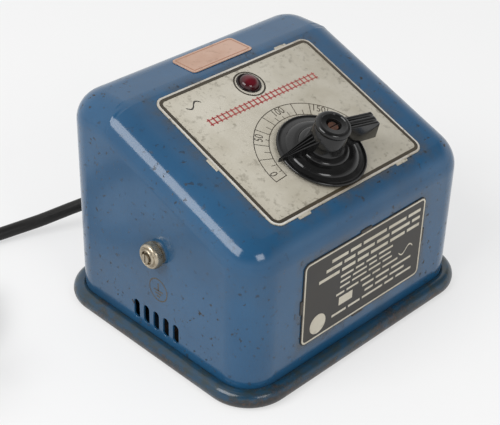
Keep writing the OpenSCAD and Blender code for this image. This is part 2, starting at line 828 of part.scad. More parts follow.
module core_cradle() {
    low = -core_drop - stack_h;
    u_front = core_up - core_l/2;
    u_back = core_up + core_l/2;
    y_front = slope_y(u_front, low);
    y_back = slope_y(u_back, low);
    color(steel) mirrored([1, 0, 0]) {
        difference() {
            translate([core_w/2 - bracket_t, 0, 0]) rotate([90, 0, 90]) linear_extrude(bracket_t) polygon([
                [y_front, pan_top], [y_back, pan_top],
                [y_back, slope_z(u_back, low)], [y_front, slope_z(u_front, low)]
            ]);
            translate([0, (y_front + y_back)/2 + 8, pan_top + 12]) rotate([0, 90, 0])
                cylinder(r = 7, h = core_w);
        }
        on_slope(core_up, low - bracket_t) difference() {
            translate([core_w/2 - yoke_w + 0.5, -core_l/2, 0])
                cube([yoke_w - 0.5 - bracket_t/2, core_l, bracket_t]);
            for (u = [-bolt_u, bolt_u])
                translate([bolt_x, u, -1]) cylinder(r = bolt_r + fit, h = 4);
        }
        difference() {
            translate([core_w/2 - bracket_t/2, y_front, pan_top])
                cube([9, y_back - y_front, bracket_t]);
            for (y = cradle_screw_y)
                translate([cradle_screw_x, y, 0]) cylinder(r = 1.5 + run_gap, h = 20);
        }
    }
}

module cradle_screws() {
    color(steel) for (x = [-1, 1], y = cradle_screw_y)
        translate([x*cradle_screw_x, y, pan_lift]) mirror([0, 0, 1])
            screw(1.5, pan_sheet + bracket_t + 1.5, 2.8, 1.5);
}

// ---- Pilot lamp ----

lens_flange_r = lens_r + 1.4;
lens_flange_t = 1;
lens_back = -sheet - run_gap - lens_flange_t;
bulb_r = 3.2;
bulb_top = -5.2;
bulb_len = 12;

module lamp_lens() {
    dome_h = plate_t + lens_h;
    color([0.4, 0.03, 0.05]) on_slope(lamp_s - knob_s, 0) difference() {
        union() {
            translate([0, 0, lens_back]) cylinder(r = lens_flange_r, h = lens_flange_t);
            translate([0, 0, lens_back]) cylinder(r = lens_r, h = plate_t - lens_back);
            intersection() {
                translate([0, 0, dome_h - dome_ball(dome_h)]) sphere(dome_ball(dome_h));
                translate([0, 0, 0]) cylinder(r = lens_r, h = 2*dome_h);
            }
        }
        translate([0, 0, lens_back - eps]) cylinder(r = lens_r - 1.2, h = -lens_back);
    }
}

// Radius of the ball whose cap is as wide as the lens where it meets the plate.
function dome_ball(dome_h) = (lens_r*lens_r + lens_h*lens_h)/(2*lens_h);

module lens_clip() {
    color(steel) on_slope(lamp_s - knob_s, lens_back - 0.5)
        ring(lens_flange_r + 1, lens_r - 1.4, 0.5);
}

module lamp_bulb() {
    color([0.95, 0.93, 0.85]) on_slope(lamp_s - knob_s, bulb_top - bulb_len) {
        translate([0, 0, bulb_len - bulb_r]) sphere(bulb_r);
        cylinder(r = bulb_r, h = bulb_len - bulb_r);
    }
}

socket_base = bulb_top - bulb_len - 7;

module lamp_socket() {
    color(brass_c) on_slope(lamp_s - knob_s, socket_base) difference() {
        cylinder(r = bulb_r + 1.2, h = 11);
        translate([0, 0, 7]) cylinder(r = bulb_r + run_gap, h = 10);
    }
}

module lamp_bracket() {
    color(steel) on_slope(lamp_s - knob_s, 0) {
        translate([-6, -5, socket_base - 1]) cube([12, 10, 1]);
        translate([-6, 5 - eps, -core_drop]) cube([12, 1, core_drop + socket_base]);
        translate([-6, -5, -core_drop]) cube([12, 12, 1]);
    }
}

// ---- Output sockets ----

screw_reach = 3;

module socket_strip() {
    color([0.3, 0.12, 0.08]) on_back(strip_x, strip_z) difference() {
        linear_extrude(strip_t) rounded_rect(strip_w, strip_h, 3);
        for (i = [-1:1])
            translate([i*socket_pitch, 0, -1]) cylinder(r = 2.5 + run_gap, h = strip_t + 2);
        for (i = [-1, 1])
            translate([i*(strip_w/2 - 4), 0, -1]) cylinder(r = 1.5 + fit, h = strip_t + 2);
    }
}

module output_sockets() {
    rim_t = 0.8;
    color(brass_c) for (i = [-1:1])
        on_back(strip_x + i*socket_pitch, strip_z) difference() {
            union() {
                translate([0, 0, strip_t]) cylinder(r = 3.6, h = rim_t);
                cylinder(r = 2.5, h = strip_t);
                translate([0, 0, -8]) cylinder(r = socket_tail_r, h = 8 + eps);
            }
            translate([0, 0, strip_t + rim_t - socket_depth]) cylinder(r = socket_r, h = socket_depth + 1);
        }
}

module strip_screws() {
    color(steel) for (i = [-1, 1])
        on_back(strip_x + i*(strip_w/2 - 4), strip_z) translate([0, 0, strip_t])
            screw(1.5, strip_t + sheet + screw_reach, 2.8, 1.6);
}

module strip_nuts() {
    color(steel) for (i = [-1, 1])
        on_back(strip_x + i*(strip_w/2 - 4), strip_z) translate([0, 0, -sheet - 2.4])
            hex_nut(5.5, 1.5 + run_gap, 2.4);
}

// ---- Earth terminal ----

washer_t = 0.8;
nut_t = 4;
nut_step = 0.8;
earth_reach = 6.3;
knurls = 36;

module earth_screw() {
    color(steel) on_left(earth_y, earth_z) difference() {
        union() {
            translate([0, 0, -sheet - washer_t - 2.6]) cylinder(d = 7/cos(30), h = 2.6, $fn = 6);
            translate([0, 0, -sheet - washer_t - 2.6])
                cylinder(r = earth_r, h = 2.6 + washer_t + sheet + earth_reach);
        }
        translate([-earth_r - 1, -0.3, earth_reach - 0.8]) cube([2*earth_r + 2, 0.6, 2]);
    }
}

module earth_lug() {
    color(brass_c) on_left(earth_y, earth_z) translate([0, 0, -sheet - washer_t]) difference() {
        union() {
            cylinder(r = 5, h = washer_t);
            translate([-14, -2, 0]) cube([14, 4, washer_t]);
        }
        translate([0, 0, -1]) cylinder(r = earth_r + run_gap, h = 3);
    }
}

module earth_washer() {
    color(steel) on_left(earth_y, earth_z) ring(5, earth_r + run_gap, washer_t);
}

module earth_nut() {
    color([0.8, 0.76, 0.66]) on_left(earth_y, earth_z) difference() {
        union() {
            translate([0, 0, washer_t]) linear_extrude(nut_t) difference() {
                circle(nut_r);
                for (i = [0:knurls - 1])
                    rotate(i*360/knurls) translate([nut_r + 0.15, 0]) circle(0.35, $fn = 4);
            }
            translate([0, 0, washer_t]) cylinder(r = nut_r - 1.3, h = nut_t + nut_step);
        }
        cylinder(r = earth_r + run_gap, h = 10);
    }
}

// ---- Cord ----

cord_r = cord_d/2;
boot_in = 2.5;
boot_out = 18;
clamp_y = 46;
clamp_l = 7;
clamp_w = 21;
clamp_screw_x = clamp_w/2 - 3;
coil_at = [-142, 84];
coil_rest = 0.6;
turn_rows = 3;
turn_layers = 2;
coil_mid_r = 36;
tie_turn = 345;
tie_w = 6;

// Middle of the cord from its clamp to the coil, then from the coil to the plug.
lead_route = [
    [-20, 38, 15], [-20, 50, 15], [-20, 62, 15], [-20, 72, 15], [-21, 78, 14.8],
    [-23.4, 84.4, 14.2], [-27.3, 89.3, 13], [-33, 92.9, 11.1], [-39, 96, 9.2], [-47.5, 100, 6.8],
    [-56.5, 104, 5], [-66, 107, 4], [-76, 109.7, 3.6], [-88, 112.9, 3.6], [-100, 116.1, 3.6],
    [-109, 118.5, 3.6], [-118, 121, 3.6]
];
tail_route = [
    [-142, 126, 10], [-153, 124.5, 11.4], [-162.5, 119.5, 13.4], [-169.5, 112, 15.8], [-174, 102.5, 18.3],
    [-175, 93, 20.6], [-174, 84, 22.4], [-171.5, 76, 23.4], [-168, 69, 23.6]
];
plug_at = tail_route[len(tail_route) - 1];
plug_turn = -60;

function unit(v) = v/norm(v);
function along(route, i) = unit(route[min(i + 1, len(route) - 1)] - route[max(i - 1, 0)]);
function sideways(dir) = unit(cross(dir, [0, 0, 1]));
function ring_points(route, i, sides) = let (
    side = sideways(along(route, i)),
    up = cross(side, along(route, i))
) [for (k = [0:sides - 1]) route[i] + cord_r*(cos(k*360/sides)*side + sin(k*360/sides)*up)];

// Rings halfway between the route's points, on a smooth curve through them.
function halfway(route, i) = let (
    last = len(route) - 1,
    before = route[max(i - 1, 0)],
    after = route[min(i + 2, last)]
) (route[i] + route[i + 1])*9/16 - (before + after)/16;
function refined(route) = [
    for (i = [0:len(route) - 2]) each [route[i], halfway(route, i)],
    route[len(route) - 1]
];

module tube(coarse) {
    sides = 10;
    route = refined(coarse);
    last = len(route) - 1;
    polyhedron(
        points = [for (i = [0:last]) each ring_points(route, i, sides)],
        faces = concat(
            [[for (k = [0:sides - 1]) k]],
            [for (i = [0:last - 1], k = [0:sides - 1])
                [i*sides + k, (i + 1)*sides + k,
                 (i + 1)*sides + (k + 1)%sides, i*sides + (k + 1)%sides]],
            [[for (k = [0:sides - 1]) last*sides + sides - 1 - k]]
        ),
        convexity = 4
    );
}

module cord() {
    color(rubber_c) tube(lead_route);
}

module cord_tail() {
    color(rubber_c) tube(tail_route);
}

module cord_coil() {
    color(rubber_c) translate([coil_at[0], coil_at[1], coil_rest]) rotate_extrude($fn = 96)
        translate([coil_mid_r, turn_layers*cord_r]) rounded_rect(turn_rows*cord_d, turn_layers*cord_d, 2.5);
}

// A strap round the coil's turns, which goes under them too.
module cord_tie() {
    outer_w = turn_rows*cord_d + 2*coil_rest;
    outer_h = turn_layers*cord_d + 2*coil_rest;
    color("dimgray") translate([coil_at[0], coil_at[1], 0]) rotate([0, 0, tie_turn])
        translate([coil_mid_r, tie_w/2, outer_h/2]) rotate([90, 0, 0]) linear_extrude(tie_w) difference() {
            rounded_rect(outer_w, outer_h, 2);
            square([outer_w - 2*coil_rest + 0.02, outer_h - 2*coil_rest + 0.02], center = true);
        }
}

module cord_boot() {
    color(rubber_c) on_back(cord_x, cord_z) translate([0, 0, -sheet - boot_in]) rotate_extrude() polygon([
        [cord_r + run_gap, 0], [7.5, 0], [7.5, boot_in], [boot_neck_r, boot_in],
        [boot_neck_r, boot_in + sheet], [7.5, boot_in + sheet], [7.5, boot_in + sheet + 1.8],
        [5.6, boot_in + sheet + 2.6], [4.2, boot_in + sheet + boot_out],
        [cord_r + run_gap, boot_in + sheet + boot_out]
    ]);
}

module clamp_base() {
    color([0.45, 0.3, 0.16]) difference() {
        translate([cord_x - clamp_w/2, clamp_y - clamp_l/2, pan_top])
            cube([clamp_w, clamp_l, cord_z - pan_top - 0.1]);
        clamp_holes();
    }
}

module clamp_bar() {
    color(steel) difference() {
        union() {
            translate([cord_x - clamp_w/2, clamp_y - clamp_l/2, cord_z + 0.1]) cube([clamp_w, clamp_l, 1.6]);
            translate([cord_x, clamp_y + clamp_l/2, cord_z]) rotate([90, 0, 0]) intersection() {
                cylinder(r = cord_r + 1.7, h = clamp_l);
                translate([-clamp_w/2, 0.1, 0]) cube([clamp_w, clamp_w, clamp_l]);
            }
        }
        clamp_holes();
    }
}

module clamp_holes() {
    translate([cord_x, clamp_y + clamp_l, cord_z]) rotate([90, 0, 0])
        cylinder(r = cord_r + run_gap, h = 2*clamp_l);
    for (side = [-1, 1])
        translate([cord_x + side*clamp_screw_x, clamp_y, cord_z - 8]) cylinder(r = 1.5 + run_gap, h = 20);
}

module clamp_screws() {
    color(steel) for (side = [-1, 1])
        translate([cord_x + side*clamp_screw_x, clamp_y, cord_z + 1.7]) screw(1.5, 9, 2.6, 1.6);
}

// ---- Plug ----

plug_len = 38;
plug_w = 34;
plug_h = 22;
plug_pin_gap = 19;
plug_pin_len = 19;
plug_pin_r = 2;
plug_pin_root = 12;
plug_screw_len = 9;

module at_plug() {
    translate(plug_at) rotate([0, 0, plug_turn]) children();
}

module plug_body() {
    color(bakelite) at_plug() difference() {
        hull() {
            rotate([0, 90, 0]) cylinder(r = cord_r + 2.5, h = 2, $fn = 32);
            for (y = [-1, 1]) {
                translate([plug_len*0.45, y*(plug_w - plug_h)/2, 0]) rotate([0, 90, 0])
                    cylinder(r = plug_h/2 - 1, h = 2, $fn = 32);
                translate([plug_len - 3, y*(plug_w - plug_h)/2, 0]) rotate([0, 90, 0])
                    cylinder(r = plug_h/2, h = 3, $fn = 32);
            }
        }
        translate([-1, 0, 0]) rotate([0, 90, 0]) cylinder(r = cord_r + run_gap, h = 13);
        translate([plug_len - plug_screw_len, 0, 0]) rotate([0, 90, 0]) cylinder(r = 1.5 + run_gap, h = 20);
        for (y = [-1, 1])
            translate([plug_len - plug_pin_root, y*plug_pin_gap/2, 0]) rotate([0, 90, 0])
                cylinder(r = plug_pin_r + run_gap, h = 20);
    }
}

module plug_pins() {
    color(brass_c) for (y = [-1, 1])
        at_plug() translate([plug_len - plug_pin_root, y*plug_pin_gap/2, 0]) rotate([0, 90, 0]) {
            cylinder(r = plug_pin_r, h = plug_pin_root + plug_pin_len - plug_pin_r);
            translate([0, 0, plug_pin_root + plug_pin_len - plug_pin_r]) sphere(plug_pin_r);
        }
}

module plug_screw() {
    color(steel) at_plug() translate([plug_len, 0, 0]) rotate([0, 90, 0])
        screw(1.5, plug_screw_len, 2.6, 1);
}

housing();
base_pan();
corner_brackets();
base_screws();
dial_plate();
data_plate();
number_tag();
knob();
knob_screw();
regulator_shaft();
wiper_hub();
hub_clip();
wiper_arm();
roller_pin();
contact_roller();
shaft_bush();
bush_nut();
bridge();
stop_pins();
contact_leaf();
leaf_block();
leaf_screws();
fixed_contact();
bridge_spacers();
core_bolts();
core_nuts();
core_e();
core_i();
bobbin();
primary_winding();
secondary_winding();
contact_track();
core_cradle();
cradle_screws();
lamp_lens();
lens_clip();
lamp_bulb();
lamp_socket();
lamp_bracket();
socket_strip();
output_sockets();
strip_screws();
strip_nuts();
earth_screw();
earth_lug();
earth_washer();
earth_nut();
cord_boot();
clamp_base();
clamp_bar();
clamp_screws();
cord();
cord_coil();
cord_tie();
cord_tail();
plug_body();
plug_pins();
plug_screw();
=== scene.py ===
import json
import math

import bmesh
import bpy
from mathutils import Matrix, Quaternion, Vector
from mathutils.bvhtree import BVHTree


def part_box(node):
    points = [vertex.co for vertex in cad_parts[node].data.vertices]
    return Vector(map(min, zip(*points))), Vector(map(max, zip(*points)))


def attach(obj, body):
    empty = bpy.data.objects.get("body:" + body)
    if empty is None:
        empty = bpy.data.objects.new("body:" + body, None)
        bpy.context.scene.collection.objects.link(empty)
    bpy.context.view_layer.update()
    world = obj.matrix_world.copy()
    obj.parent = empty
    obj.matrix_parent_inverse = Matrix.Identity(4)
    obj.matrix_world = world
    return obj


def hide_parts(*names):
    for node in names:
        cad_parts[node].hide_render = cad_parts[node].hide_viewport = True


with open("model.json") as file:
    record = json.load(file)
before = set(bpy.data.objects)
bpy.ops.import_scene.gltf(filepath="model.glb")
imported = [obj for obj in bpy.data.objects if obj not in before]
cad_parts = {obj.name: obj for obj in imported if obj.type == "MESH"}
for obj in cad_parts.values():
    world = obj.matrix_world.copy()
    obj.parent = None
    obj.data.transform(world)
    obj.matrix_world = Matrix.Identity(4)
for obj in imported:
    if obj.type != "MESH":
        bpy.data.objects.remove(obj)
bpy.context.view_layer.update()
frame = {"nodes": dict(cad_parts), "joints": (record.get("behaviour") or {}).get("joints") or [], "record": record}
mm = 0.001
nodes = frame["nodes"]
knobTurn = next(joint for joint in frame["joints"] if joint["name"] == "regulator_turn")
slopeAxis = Vector(knobTurn["axis"])
slopeOrigin = Vector(knobTurn["pos_m"])
slopeLean = math.atan2(-slopeAxis.y, slopeAxis.z)
bpy.context.scene.view_settings.view_transform = "Standard"
print("frame loaded")


# Camera and image points.

camera = {
    "place": (-0.3273, -0.30617, 0.33187),
    "aim": (-0.01314, -0.0020, 0.045),
    "roll": 1.74,
    "lens": 90.35,
    "sensor": 36,
    "shiftX": 0.0,
    "shiftY": 0.0,
    "frame": (500, 425),
}
frameWidth, frameHeight = camera["frame"]
longSide = max(frameWidth, frameHeight)

imagePoints = {
    "leftEdge": (72.6, None),
    "rightEdge": (455.2, None),
    "topEdge": (None, 15.5),
    "bottomEdge": (None, 410.3),
    "lamp": (249.2, 85),
    "knobCap": (332.5, 124),
    "pointerTip": (277, 162.5),
    "earthTerminal": (147.3, 258.5),
    "earthRing": (158.3, 290),
    "firstSlot": (140.2, 306.7),
    "lastSlot": (179, 334.4),
    "dialPlateNearCorner": (276.5, 227),
    "dataPlateNearCorner": (302.1, 346.2),
    "dataPlateFarCorner": (425.3, 199.5),
    "tagFarCorner": (230, 38.5),
    "tagNearCorner": (194, 74.5),
    "dataDisc": (317.5, 323.8),
    "dataPatch": (345.5, 297.5),
}


# Turns an object at a place so that it looks at its aim.
def lookAt(place, aim, roll=0):
    turn = (Vector(aim) - Vector(place)).to_track_quat("-Z", "Y")
    turn = turn @ Quaternion((0, 0, 1), math.radians(roll))
    return Matrix.Translation(place) @ turn.to_matrix().to_4x4()


def addObject(name, data):
    added = bpy.data.objects.new(name, data)
    bpy.context.scene.collection.objects.link(added)
    return added


def addCamera():
    data = bpy.data.cameras.new("camera")
    data.lens = camera["lens"]
    data.sensor_fit = "AUTO"
    data.sensor_width = camera["sensor"]
    data.shift_x = camera["shiftX"]
    data.shift_y = camera["shiftY"]
    cameraObject = addObject("camera", data)
    cameraObject.matrix_world = lookAt(camera["place"], camera["aim"], camera["roll"])
    bpy.context.scene.camera = cameraObject
    return cameraObject


cameraObject = addCamera()


def viewRay(x, y):
    ray = Vector((
        x - frameWidth / 2 + camera["shiftX"] * longSide,
        frameHeight / 2 - y + camera["shiftY"] * longSide,
        -longSide * camera["lens"] / camera["sensor"],
    ))
    return (cameraObject.matrix_world.to_3x3() @ ray).normalized()


def pictureOf(point):
    local = cameraObject.matrix_world.inverted() @ Vector(point)
    scale = longSide * camera["lens"] / camera["sensor"] / -local.z
    return (
        frameWidth / 2 - camera["shiftX"] * longSide + local.x * scale,
        frameHeight / 2 + camera["shiftY"] * longSide - local.y * scale,
    )


def treeOf(piece):
    vertices = [piece.matrix_world @ vertex.co for vertex in piece.data.vertices]
    return BVHTree.FromPolygons(vertices, [list(face.vertices) for face in piece.data.polygons])


# Where the view's ray through an image point meets what carries the piece. A miss
# takes the place nearest the ray, which is tried each 5 mm from 0.3 m on.
def placeOn(name, tree):
    start = Vector(camera["place"])
    ray = viewRay(*imagePoints[name])
    hit = tree.ray_cast(start, ray)
    if hit[0] is not None:
        return hit[0]
    nearest = [tree.find_nearest(start + ray * step * 5 * mm) for step in range(60, 160)]
    return min(nearest, key=lambda found: found[3])[0]


# Selecting, shaping and placing.

def deselectAll():
    if bpy.context.object and bpy.context.object.mode != "OBJECT":
        bpy.ops.object.mode_set(mode="OBJECT")
    bpy.ops.object.select_all(action="DESELECT")


def makeActive(piece):
    deselectAll()
    piece.select_set(True)
    bpy.context.view_layer.objects.active = piece


def finishEdit(piece):
    bpy.ops.object.mode_set(mode="OBJECT")
    return piece


def editAll(piece):
    makeActive(piece)
    bpy.ops.object.mode_set(mode="EDIT")
    bpy.ops.mesh.select_all(action="SELECT")


def selectWhere(piece, kind, test):
    editMesh = bmesh.from_edit_mesh(piece.data)
    for part in (editMesh.verts, editMesh.edges, editMesh.faces):
        for one in part:
            one.select = False
    editMesh.select_mode = {{"verts": "VERT", "edges": "EDGE", "faces": "FACE"}[kind]}
    bpy.context.tool_settings.mesh_select_mode = (kind == "verts", kind == "edges", kind == "faces")
    for one in getattr(editMesh, kind):
        if test(one):
            one.select = True
    editMesh.select_flush_mode()
    bmesh.update_edit_mesh(piece.data)


def useModifier(piece, kind, **settings):
    modifier = piece.modifiers.new("shape", kind)
    for name, value in settings.items():
        setattr(modifier, name, value)
    makeActive(piece)
    bpy.ops.object.modifier_apply(modifier=modifier.name)
    return piece


def applyPlace(piece):
    makeActive(piece)
    bpy.ops.object.transform_apply(location=True, rotation=True, scale=True)
    return piece


# Names the object just added and takes its place and scale into its mesh.
def named(name, scale=(1, 1, 1)):
    piece = bpy.context.object
    piece.name = name
    piece.scale = scale
    return applyPlace(piece)


def shift(x, y, z):
    return Matrix.Translation((x, y, z))


def spin(degrees, axis):
    return Matrix.Rotation(math.radians(degrees), 4, axis)


def polar(radius, degrees):
    return radius * math.cos(math.radians(degrees)), radius * math.sin(math.radians(degrees))


def middleOfNode(name):
    low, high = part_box(name)
    return (low + high) / 2


# Puts a piece modelled round the origin where the matrix says, in its mesh.
def settle(piece, matrix):
    piece.matrix_world = matrix @ piece.matrix_world
    bpy.context.view_layer.update()
    return applyPlace(piece)


def joinPieces(name, pieces):
    deselectAll()
    for piece in pieces:
        piece.select_set(True)
    bpy.context.view_layer.objects.active = pieces[0]
    bpy.ops.object.join()
    joined = bpy.context.object
    joined.name = name
    return joined


def fixNormals(piece):
    editAll(piece)
    bpy.ops.mesh.remove_doubles(threshold=0.000005)
    bpy.ops.mesh.normals_make_consistent(inside=False)
    return finishEdit(piece)


def smooth(piece, degrees, weighted=False):
    makeActive(piece)
    bpy.ops.object.shade_smooth_by_angle(angle=math.radians(degrees))
    return useModifier(piece, "WEIGHTED_NORMAL", keep_sharp=True) if weighted else piece


def bevelEdges(piece, width, segments, degrees):
    return useModifier(piece, "BEVEL", width=width, segments=segments, limit_method="ANGLE",
                       angle_limit=math.radians(degrees))


def cutWith(piece, cutter, operation="DIFFERENCE"):
    useModifier(piece, "BOOLEAN", operation=operation, solver="EXACT", object=cutter)
    bpy.data.objects.remove(cutter, do_unlink=True)
    return piece


def extrude(x, y, z):
    bpy.ops.mesh.extrude_region_move(TRANSFORM_OT_translate={"value": (x, y, z)})


def addCube(name, low, high):
    deselectAll()
    low, high = Vector(low), Vector(high)
    bpy.ops.mesh.primitive_cube_add(size=1, location=(low + high) / 2)
    return named(name, high - low)


def addRod(name, radius, low, high, sides):
    deselectAll()
    bpy.ops.mesh.primitive_cylinder_add(
        vertices=sides, radius=radius, depth=high - low, location=(0, 0, (low + high) / 2))
    return named(name)


def addPlane(name, width, height, x=0, y=0, degrees=0):
    deselectAll()
    bpy.ops.mesh.primitive_plane_add(size=1, location=(x, y, 0), rotation=(0, 0, math.radians(degrees)))
    return named(name, (width, height, 1))


def cutHole(piece, radius, place, sides=48):
    hole = addRod("hole", radius, -4 * mm, 4 * mm, sides)
    return cutWith(piece, settle(hole, place))


# Draws a circle up through the profile's pairs of radius and height.
def turned(name, profile, sides):
    deselectAll()
    radius, height = profile[0]
    bpy.ops.mesh.primitive_circle_add(
        vertices=sides, radius=radius, fill_type="NGON", location=(0, 0, height))
    piece = named(name)
    editAll(piece)
    for nextRadius, nextHeight in profile[1:]:
        grow = nextRadius / radius
        extrude(0, 0, nextHeight - height)
        bpy.ops.transform.resize(value=(grow, grow, 1), center_override=(0, 0, nextHeight))
        radius, height = nextRadius, nextHeight
    finishEdit(piece)
    return fixNormals(piece)


# Points along an oval round a middle, for a profile.
def oval(middle, height, across, up, startDeg, endDeg, steps):
    turns = [math.radians(startDeg + (endDeg - startDeg) * i / steps) for i in range(steps + 1)]
    return [(middle + across * math.cos(a), height + up * math.sin(a)) for a in turns]


# One point is drawn along the outline in X and Z, filled and drawn out along Y.
def slab(name, outline, thickness):
    piece = addPlane(name, 1, 1)
    editAll(piece)
    bpy.ops.mesh.merge(type="CENTER")
    x, z = outline[0]
    bpy.ops.transform.translate(value=(x, -thickness / 2, z))
    for nextX, nextZ in outline[1:]:
        extrude(nextX - x, 0, nextZ - z)
        x, z = nextX, nextZ
    bpy.ops.mesh.select_all(action="SELECT")
    bpy.ops.mesh.edge_face_add()
    extrude(0, thickness, 0)
    finishEdit(piece)
    return fixNormals(piece)


# Brings a piece that was drawn in millimetres to its place.
def fromMillimetres(piece, face, degrees):
    smooth(piece, degrees)
    return settle(piece, face @ Matrix.Scale(mm, 4))


# A flat sheet with rounded corners, lying on z = 0 round the origin.
def roundedSheet(name, width, height, radius, segments=8):
    piece = addPlane(name, width, height)
    editAll(piece)
    bpy.ops.mesh.bevel(offset=radius, segments=segments, affect="VERTICES")
    return finishEdit(piece)


def extrudeUp(piece, height):
    editAll(piece)
    extrude(0, 0, height)
    finishEdit(piece)
    return fixNormals(piece)


# A print of bars, each with its width, height and middle.
def printBars(name, bars):
    return joinPieces(name, [addPlane("bar", *bar) for bar in bars])


# The places of a number of things in a row round 0.
def rowOf(count, pitch):
    return [(i - (count - 1) / 2) * pitch for i in range(count)]


# A short line spun round the middle into a flat ring or a part of one.
def printRing(name, outer, inner, startDeg=0, endDeg=360):
    piece = addPlane(name, outer - inner, 0.001 * mm, x=(outer + inner) / 2)
    editAll(piece)
    selectWhere(piece, "verts", lambda vert: vert.co.y > 0)
    bpy.ops.mesh.delete(type="VERT")
    finishEdit(piece)
    settle(piece, spin(startDeg, "Z"))
    editAll(piece)
    bpy.ops.mesh.spin(steps=96, angle=math.radians(endDeg - startDeg), center=(0, 0, 0), axis=(0, 0, -1))
    bpy.ops.mesh.select_all(action="SELECT")
    bpy.ops.mesh.remove_doubles(threshold=0.000002)
    if finishEdit(piece).data.polygons[0].normal.z < 0:
        editAll(piece)
        bpy.ops.mesh.flip_normals()
        finishEdit(piece)
    return piece


def printText(name, words, height, place, degrees):
    deselectAll()
    bpy.ops.object.text_add()
    letters = bpy.context.object.data
    letters.body = words
    letters.size = height / 0.69
    letters.align_x = "CENTER"
    letters.align_y = "CENTER"
    letters.resolution_u = 4
    bpy.ops.object.convert(target="MESH")
    return settle(named(name, (0.82, 1, 1)), shift(*place, 0) @ spin(degrees, "Z"))


# Materials. The bench holds the node tree that is being worked on and its shader.

bench = {}


# Gives a socket a value or links another node's output to it.
def connect(socket, value):
    if isinstance(value, bpy.types.NodeSocket):
        bench["tree"].links.new(value, socket)
    else:
        socket.default_value = value


def feed(name, value):
    connect(bench["shader"].inputs[name], value)


def newFinish(name, colour, roughness, metallic=0.0):
    material = bpy.data.materials.new(name)
    material.use_nodes = True
    bench["tree"] = material.node_tree
    bench["shader"] = material.node_tree.nodes["Principled BSDF"]
    feed("Base Color", (*colour, 1))
    feed("Roughness", roughness)
    feed("Metallic", metallic)
    return material


def addNode(kind, settings=None, **inputs):
    node = bench["tree"].nodes.new(kind)
    for name, value in (settings or {}).items():
        setattr(node, name, value)
    for name, value in inputs.items():
        connect(node.inputs[name], value)
    return node


def objectSpace(scale=(1, 1, 1), turn=(0, 0, 0), place=(0, 0, 0)):
    source = addNode("ShaderNodeTexCoord").outputs["Object"]
    mapping = addNode("ShaderNodeMapping", Vector=source, Scale=scale, Rotation=turn, Location=place)
    return mapping.outputs["Vector"]


# Object space laid back so that its Y runs up the slope and its Z out of it.
def slopeSpace(place=(0, 0, 0)):
    return objectSpace(turn=(-slopeLean, 0, 0), place=place)


def axisOf(space, axis):
    return addNode("ShaderNodeSeparateXYZ", Vector=space).outputs[axis]


def noise(space, scale, detail, rough=0.55):
    node = addNode("ShaderNodeTexNoise", Vector=space, Scale=scale, Detail=detail, Roughness=rough)
    return node.outputs["Fac"]


def bands(space, direction, scale):
    return addNode("ShaderNodeTexWave", {"bands_direction": direction}, Vector=space, Scale=scale)


# Runs from 0 at the first level to 1 at the second.
def mask(value, first, second):
    levels = {"Value": value, "From Min": first, "From Max": second}
    return addNode("ShaderNodeMapRange", **levels).outputs["Result"]


# Patches of noise between two levels, looked up at a place of their own.
def spots(place, scale, detail, rough, first, second):
    return mask(noise(objectSpace(place=place), scale, detail, rough), first, second)


def mixColour(share, first, second):
    node = addNode("ShaderNodeMix", {"data_type": "RGBA"})
    connect(node.inputs[0], share)
    for socket, value in ((node.inputs[6], first), (node.inputs[7], second)):
        connect(socket, (*value, 1) if isinstance(value, tuple) else value)
    return node.outputs[2]


def calc(operation, *values):
    node = addNode("ShaderNodeMath", {"operation": operation})
    for socket, value in zip(node.inputs, values):
        connect(socket, value)
    return node.outputs[0]


def times(first, second):
    return calc("MULTIPLY", first, second)


def plus(first, second):
    return calc("ADD", first, second)


def minus(first, second):
    return calc("SUBTRACT", first, second)


def larger(first, second):
    return calc("MAXIMUM", first, second)


def bump(height, distance, strength):
    node = addNode("ShaderNodeBump", Height=height, Distance=distance, Strength=strength)
    feed("Normal", node.outputs["Normal"])


# How far a place lies outside a plate, in X and one other axis of the space.
def plateDistance(space, across, middle, half):
    sides = zip(("X", across), middle, half)
    return larger(*(minus(calc("ABSOLUTE", minus(axisOf(space, axis), centre)), reach)
                    for axis, centre, reach in sides))


# Middle and half size of both plates, the dial's in the slope's space.
dialSpot = ((0, 19.75 * mm), (43.8 * mm, 36.8 * mm))
dataSpot = ((0, 36.75 * mm), (36.8 * mm, 19.75 * mm))

# Each kind of spot has a place, a scale, detail, roughness and its two levels.
enamelLook = {
    "deep": (0.012, 0.07, 0.155),
    "light": (0.02, 0.088, 0.185),
    "grime": (0.06, 0.058, 0.052),
    "chip": (0.012, 0.012, 0.014),
    "rust": (0.045, 0.032, 0.026),
    "gloss": 0.11,
    "clouds": ((0, 0, 0), 35, 5, 0.55, 0.35, 0.7),
    "grimePatches": ((0.6, 0.4, 0), 17, 8, 0.72, 0.48, 0.78),
    "chippedParts": ((0.1, 0.9, 0), 26, 3, 0.55, 0.38, 0.6),
    "smallChips": ((0.7, 0.2, 0), 430, 3, 0.5, 0.635, 0.67),
    "dialReach": 8 * mm,
    "dataReach": 5 * mm,
    "slopeSkin": (79 * mm, 82 * mm),
    "frontSkin": (-48 * mm, -52 * mm),
}


